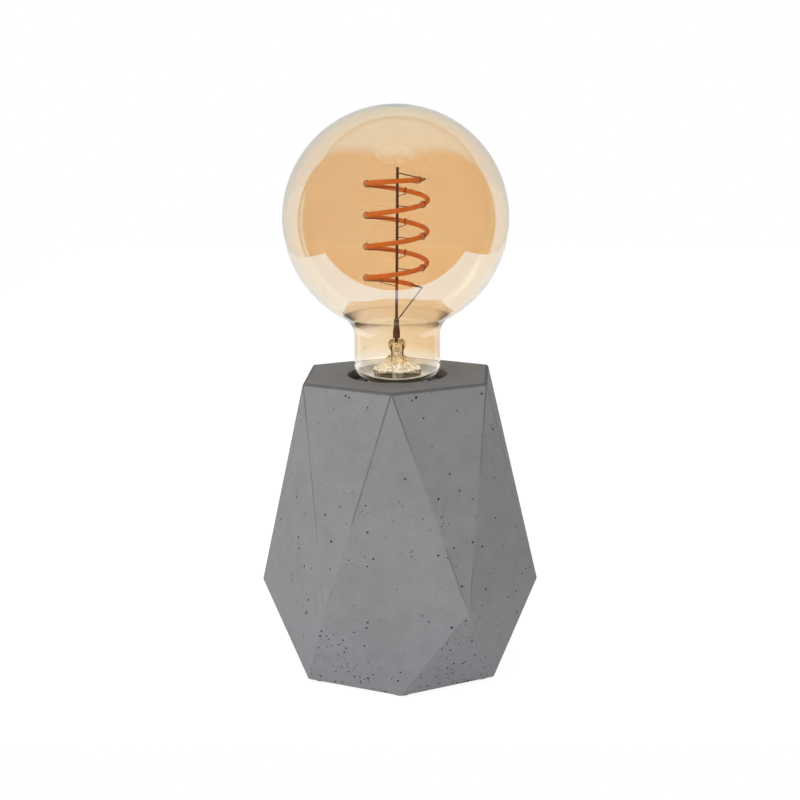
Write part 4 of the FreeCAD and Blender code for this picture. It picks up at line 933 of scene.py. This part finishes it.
class LAMP_OT_globe(Operator):
    """Blow the amber globe with its neck"""
    bl_idname = "lamp.globe"
    bl_label = "Blow the globe"

    sides = 160
    neck_length = 11.85 * MM
    coat_foot = 134.0 * MM
    wall_thins = (126.8 * MM, 5 * MM)
    tail_wall = 0.8 * MM
    seam_gap, seam_wall = 0.06 * MM, 0.2 * MM
    seam_from, seam_to, seam_steps, seam_sides = 164, 118, 10, 96

    def execute(self, context):
        settings = context.scene.lamp_glass
        outside = self.outline(settings)
        piece = turned("Globe", outside, self.sides, closed_top=True)
        inner = turned("Inner", self.inner_outline(outside, settings), self.sides, closed_top=True)
        edit(inner)
        bpy.ops.mesh.flip_normals()
        finish_edit()
        for wall, value in ((piece, 0.0), (inner, 1.0)):
            mark = wall.data.attributes.new("inner_wall", "FLOAT", "FACE")
            for face in wall.data.polygons:
                mark.data[face.index].value = value
        join(piece, inner)
        bpy.ops.object.mode_set(mode="EDIT")
        bpy.ops.mesh.select_mode(type="EDGE")
        bpy.ops.mesh.select_all(action="DESELECT")
        bpy.ops.mesh.select_non_manifold()
        bpy.ops.mesh.bridge_edge_loops()
        bpy.ops.mesh.select_mode(type="VERT")
        finish_edit()
        smooth(piece, 50)
        piece.data.materials.append(amber_glass(settings))
        piece.data.materials.append(foot_glass(settings.veil))
        for face in piece.data.polygons:
            face.material_index = int(face.center.z < self.coat_foot)
        join(piece, self.neck_seam(settings))
        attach(piece, "bulb")
        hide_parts("bulb_glass")
        return {"FINISHED"}

    def neck_curve(self, settings):
        """Middle of the curve from neck to globe, and where it meets the globe, in degrees."""
        out = settings.neck_radius + settings.neck_fillet
        drop = math.sqrt((GLOBE_RADIUS + settings.neck_fillet) ** 2 - out ** 2)
        return (out, GLOBE_TOP - GLOBE_RADIUS - drop), math.degrees(math.atan2(drop, out))

    def neck_seam(self, settings):
        """Painted shade inside the neck's curve: a thin closed dark ring against the wall."""
        middle, _ = self.neck_curve(settings)
        radius = settings.neck_fillet + settings.wall + self.seam_gap
        against = arc(middle, radius, self.seam_from, self.seam_to, self.seam_steps)
        free = arc(middle, radius + self.seam_wall, self.seam_to, self.seam_from, self.seam_steps)
        seam = turned("Seam", against + free + against[:1], self.seam_sides)
        only(seam)
        bpy.ops.object.shade_smooth()
        seam.data.materials.append(brown_seam())
        return seam

    def outline(self, settings):
        """From the tail in the cap, up round the shoulder and neck, to the top of the globe."""
        neck, fillet = settings.neck_radius, settings.neck_fillet
        middle, low_deg = self.neck_curve(settings)
        neck_top = middle[1]
        neck_foot = neck_top - self.neck_length
        shoulder = (neck - settings.shoulder_radius, neck_foot)
        points = [(settings.tail_radius, GLOBE_FOOT)]
        points += arc(shoulder, settings.shoulder_radius, -90, 0, 20)
        points += [(neck, neck_foot + k * (neck_top - neck_foot) / 4) for k in (1, 2, 3)]
        points += arc(middle, fillet, 180, 180 - low_deg, 16)
        points += arc((0, GLOBE_TOP - GLOBE_RADIUS), GLOBE_RADIUS, -low_deg, 89, 90)[1:]
        return points

    def inner_outline(self, outside, settings):
        """The same outline a wall further in; the wall grows towards the foot."""
        thick, thin = settings.foot_wall, settings.wall
        from_height, over = self.wall_thins
        tail, start = outside[:2]
        inside = [(tail[0] - self.tail_wall, tail[1]), (start[0] - self.tail_wall, start[1] + thick)]
        for k, (radius, height) in enumerate(outside[2:], 2):
            before, after = outside[k - 1], outside[min(k + 1, len(outside) - 1)]
            along = Vector((after[0] - before[0], after[1] - before[1])).normalized()
            share = min(1.0, max(0.0, (height - from_height) / over))
            wall = thick + (thin - thick) * share * share * (3 - 2 * share)
            inside.append((radius - along.y * wall, height + along.x * wall))
        return inside


class LAMP_OT_stem(Operator):
    """Press the glass stem with its beads, crumpled flare and tube"""
    bl_idname = "lamp.stem"
    bl_label = "Press the stem"

    pinch_middle = 139.8 * MM
    lump_size = 0.4 * MM
    beads_mm = (
        ((-2.2, 0.0, 141.5), (1.6, 1.7, 2.7)), ((1.9, 0.0, 141.5), (1.6, 1.7, 2.7)),
        ((-0.2, 0.0, 142.3), (1.6, 1.6, 2.0)), ((-0.2, 0.0, 138.4), (2.1, 1.8, 2.4)),
        ((-2.4, 0.0, 135.2), (2.5, 2.2, 2.0)), ((2.3, 0.0, 135.2), (2.5, 2.2, 2.0)),
        ((0.0, 0.0, 134.4), (2.8, 2.8, 2.0)),
    )
    flare_mm = (
        (9.9, 125.4), (10.0, 127.5), (10.0, 129.6), (10.1, 131.1), (9.7, 131.9),
        (8.6, 132.3), (7.2, 132.6), (5.8, 133.0), (4.6, 133.7), (3.6, 135.0),
    )
    tube_mm = ((2.0, 120.7), (2.0, 130), (2.2, 137))

    def execute(self, context):
        piece, flare, tube = self.pinch(), self.flare(), self.tube()
        piece.data.materials.append(crackled_glass("Crackled glass", (0.85, 0.70, 0.46), 0.05, 1.0))
        flare.data.materials.append(crackled_glass("Crumpled glass", (1.0, 0.89, 0.76), 0.34, 0.6))
        tube.data.materials.append(tube_glass())
        join(piece, flare, tube)
        piece.name = "Stem"
        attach(piece, "bulb")
        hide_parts("stem_glass")
        return {"FINISHED"}

    def pinch(self):
        """Lumps of pressed glass, melted together and crackled."""
        deselect()
        bpy.ops.mesh.primitive_ico_sphere_add(
            subdivisions=2, radius=MM, location=(0, 0, self.pinch_middle))
        piece = added("Pinch")
        bpy.ops.object.mode_set(mode="EDIT")
        for place, size in self.beads_mm:
            bpy.ops.mesh.primitive_ico_sphere_add(
                subdivisions=3, radius=1.0, location=[part * MM for part in place],
                scale=[part * MM for part in size])
        finish_edit()
        apply_modifier(piece, "REMESH", mode="VOXEL", voxel_size=self.lump_size)
        roughen(piece, 0.2 * MM, 3)
        apply_modifier(piece, "SUBSURF", levels=1, render_levels=1)
        return piece

    def flare(self):
        """The trumpet that joins the stem to the neck, crumpled where it was pressed."""
        piece = turned("Flare", [(r * MM, z * MM) for r, z in self.flare_mm], 40)
        roughen(piece, 0.35 * MM, 11)
        apply_modifier(piece, "SOLIDIFY", thickness=0.45 * MM, offset=-1.0)
        return piece

    def tube(self):
        piece = turned("Tube", [(r * MM, z * MM) for r, z in self.tube_mm], 24)
        apply_modifier(piece, "SOLIDIFY", thickness=0.5 * MM, offset=-1.0)
        smooth(piece, 60)
        return piece


class LAMP_OT_filament(Operator):
    """Finish the spiral filament and its metal ends"""
    bl_idname = "lamp.filament"
    bl_label = "Finish the filament"

    def execute(self, context):
        settings = context.scene.lamp_finish
        dress(phosphor(settings.phosphor, settings.phosphor_glow), "filament")
        dress(metal("Tip metal", (0.30, 0.22, 0.16), 0.4, sheen=True), "filament_tips")
        return {"FINISHED"}


class LAMP_OT_wires(Operator):
    """Finish the rod, its sleeve and the wires inside the globe"""
    bl_idname = "lamp.wires"
    bl_label = "Finish the rod and wires"

    def execute(self, context):
        settings = context.scene.lamp_finish
        rod = plastic("Brown rod", settings.rod, 0.4, dustiness=0.0, speckle=0.3, sheen=True)
        dress(rod, "filament_post", "post_sleeve")
        wire = plastic("Dark wire", settings.wire, 0.35, dustiness=0.0, speckle=0.3, sheen=True)
        dress(wire, "support_wires", "lead_wires")
        dress(metal("Stem lead metal", (0.45, 0.36, 0.30), 0.35), "stem_leads")
        return {"FINISHED"}


class LAMP_OT_lamp_cap(Operator):
    """Finish the lamp's screw cap and the small circuit inside it"""
    bl_idname = "lamp.lamp_cap"
    bl_label = "Finish the lamp cap"

    def execute(self, context):
        dress(metal("Pressed brass", (0.74, 0.58, 0.36), 0.25, tarnish=0.4), "bulb_cap")
        dress(metal("Tip solder", (0.70, 0.66, 0.58), 0.35), "tip_contact")
        dress(metal("Cap lead metal", (0.45, 0.36, 0.30), 0.35), "cap_lead")
        dress(metal("Sleeved can", (0.70, 0.70, 0.72), 0.3), "driver_capacitor")
        dress(ceramic("Cement", (0.60, 0.50, 0.36), 0.8, 0.4), "cap_cement")
        dress(plastic("Black glass", (0.02, 0.02, 0.03), 0.12), "cap_insulator")
        dress(plastic("Board laminate", (0.05, 0.20, 0.08), 0.4), "driver_board")
        dress(plastic("Chip plastic", (0.02, 0.02, 0.02), 0.5), "driver_chip", "fuse_resistor")
        return {"FINISHED"}


class LAMP_OT_holder(Operator):
    """Finish the lampholder and its contacts"""
    bl_idname = "lamp.holder"
    bl_label = "Finish the lampholder"

    def execute(self, context):
        dress(plastic("Holder plastic", (0.02, 0.02, 0.02), 0.4), "holder_cap", "holder_skirt")
        dress(ceramic("White ceramic", (0.85, 0.84, 0.80), 0.15, 0.04), "contact_carrier")
        dress(metal("Thread brass", (0.72, 0.55, 0.32), 0.28, tarnish=0.4), "thread_sleeve")
        dress(metal("Contact brass", (0.78, 0.57, 0.30), 0.28), "side_contact", "contact_root",
              "centre_contact", "contact_rivets", "live_terminal", "neutral_terminal")
        dress(metal("Plated steel", (0.60, 0.60, 0.58), 0.3), "terminal_screws", "nipple_grub_screw",
              "mounting_nipple", "nipple_washer", "nipple_nut")
        return {"FINISHED"}


class LAMP_OT_wiring(Operator):
    """Finish the leads and the connector in the base"""
    bl_idname = "lamp.wiring"
    bl_label = "Finish the wiring"

    def execute(self, context):
        dress(plastic("Brown insulation", (0.20, 0.08, 0.03), 0.45), "live_lead")
        dress(plastic("Blue insulation", (0.03, 0.08, 0.30), 0.45), "neutral_lead")
        dress(plastic("Connector plastic", (0.80, 0.80, 0.76), 0.4), "connector_block")
        dress(metal("Connector brass", (0.76, 0.60, 0.34), 0.32), "connector_sleeves")
        dress(metal("Screw steel", (0.58, 0.58, 0.56), 0.34), "connector_screws",
              "connector_fixing_screw")
        return {"FINISHED"}


class LAMP_OT_closing(Operator):
    """Finish the cover, pads and grommet that close the base"""
    bl_idname = "lamp.closing"
    bl_label = "Finish the underside"

    def execute(self, context):
        dress(plastic("Cover plastic", (0.03, 0.03, 0.032), 0.55), "base_cover")
        dress(metal("Cover screw steel", (0.60, 0.60, 0.58), 0.3), "cover_screws")
        dress(metal("Insert brass", (0.78, 0.57, 0.30), 0.3), "cover_inserts")
        dress(plastic("Pad rubber", (0.03, 0.03, 0.03), 0.8), "foot_pads", "cable_grommet")
        return {"FINISHED"}


class LAMP_PT_panel(Panel):
    bl_label = "Concrete table lamp"
    bl_idname = "LAMP_PT_panel"
    bl_space_type = "VIEW_3D"
    bl_region_type = "UI"
    bl_category = "Lamp"

    def draw(self, context):
        layout = self.layout
        for operator in OPERATORS:
            layout.operator(operator.bl_idname)
        for name in SETTINGS:
            group = getattr(context.scene, name)
            box = layout.box()
            for key in group.bl_rna.properties.keys():
                if key not in ("rna_type", "name"):
                    box.prop(group, key)


SETTINGS = {
    "lamp_stage": StageSettings, "lamp_casting": CastingSettings, "lamp_glass": GlassSettings,
    "lamp_finish": FinishSettings,
}
OPERATORS = (
    LAMP_OT_stage, LAMP_OT_casting, LAMP_OT_globe, LAMP_OT_stem, LAMP_OT_filament,
    LAMP_OT_wires, LAMP_OT_lamp_cap, LAMP_OT_holder, LAMP_OT_wiring, LAMP_OT_closing,
)
CLASSES = (*SETTINGS.values(), *OPERATORS, LAMP_PT_panel)


def register():
    for part in CLASSES:
        bpy.utils.register_class(part)
    for name, settings in SETTINGS.items():
        setattr(bpy.types.Scene, name, PointerProperty(type=settings))


def unregister():
    for name in SETTINGS:
        delattr(bpy.types.Scene, name)
    for part in reversed(CLASSES):
        bpy.utils.unregister_class(part)


def main():
    register()
    bpy.ops.lamp.stage()
    bpy.ops.lamp.casting()
    bpy.ops.lamp.globe()
    bpy.ops.lamp.stem()
    bpy.ops.lamp.filament()
    bpy.ops.lamp.wires()
    bpy.ops.lamp.lamp_cap()
    bpy.ops.lamp.holder()
    bpy.ops.lamp.wiring()
    bpy.ops.lamp.closing()


if __name__ == "__main__":
    main()
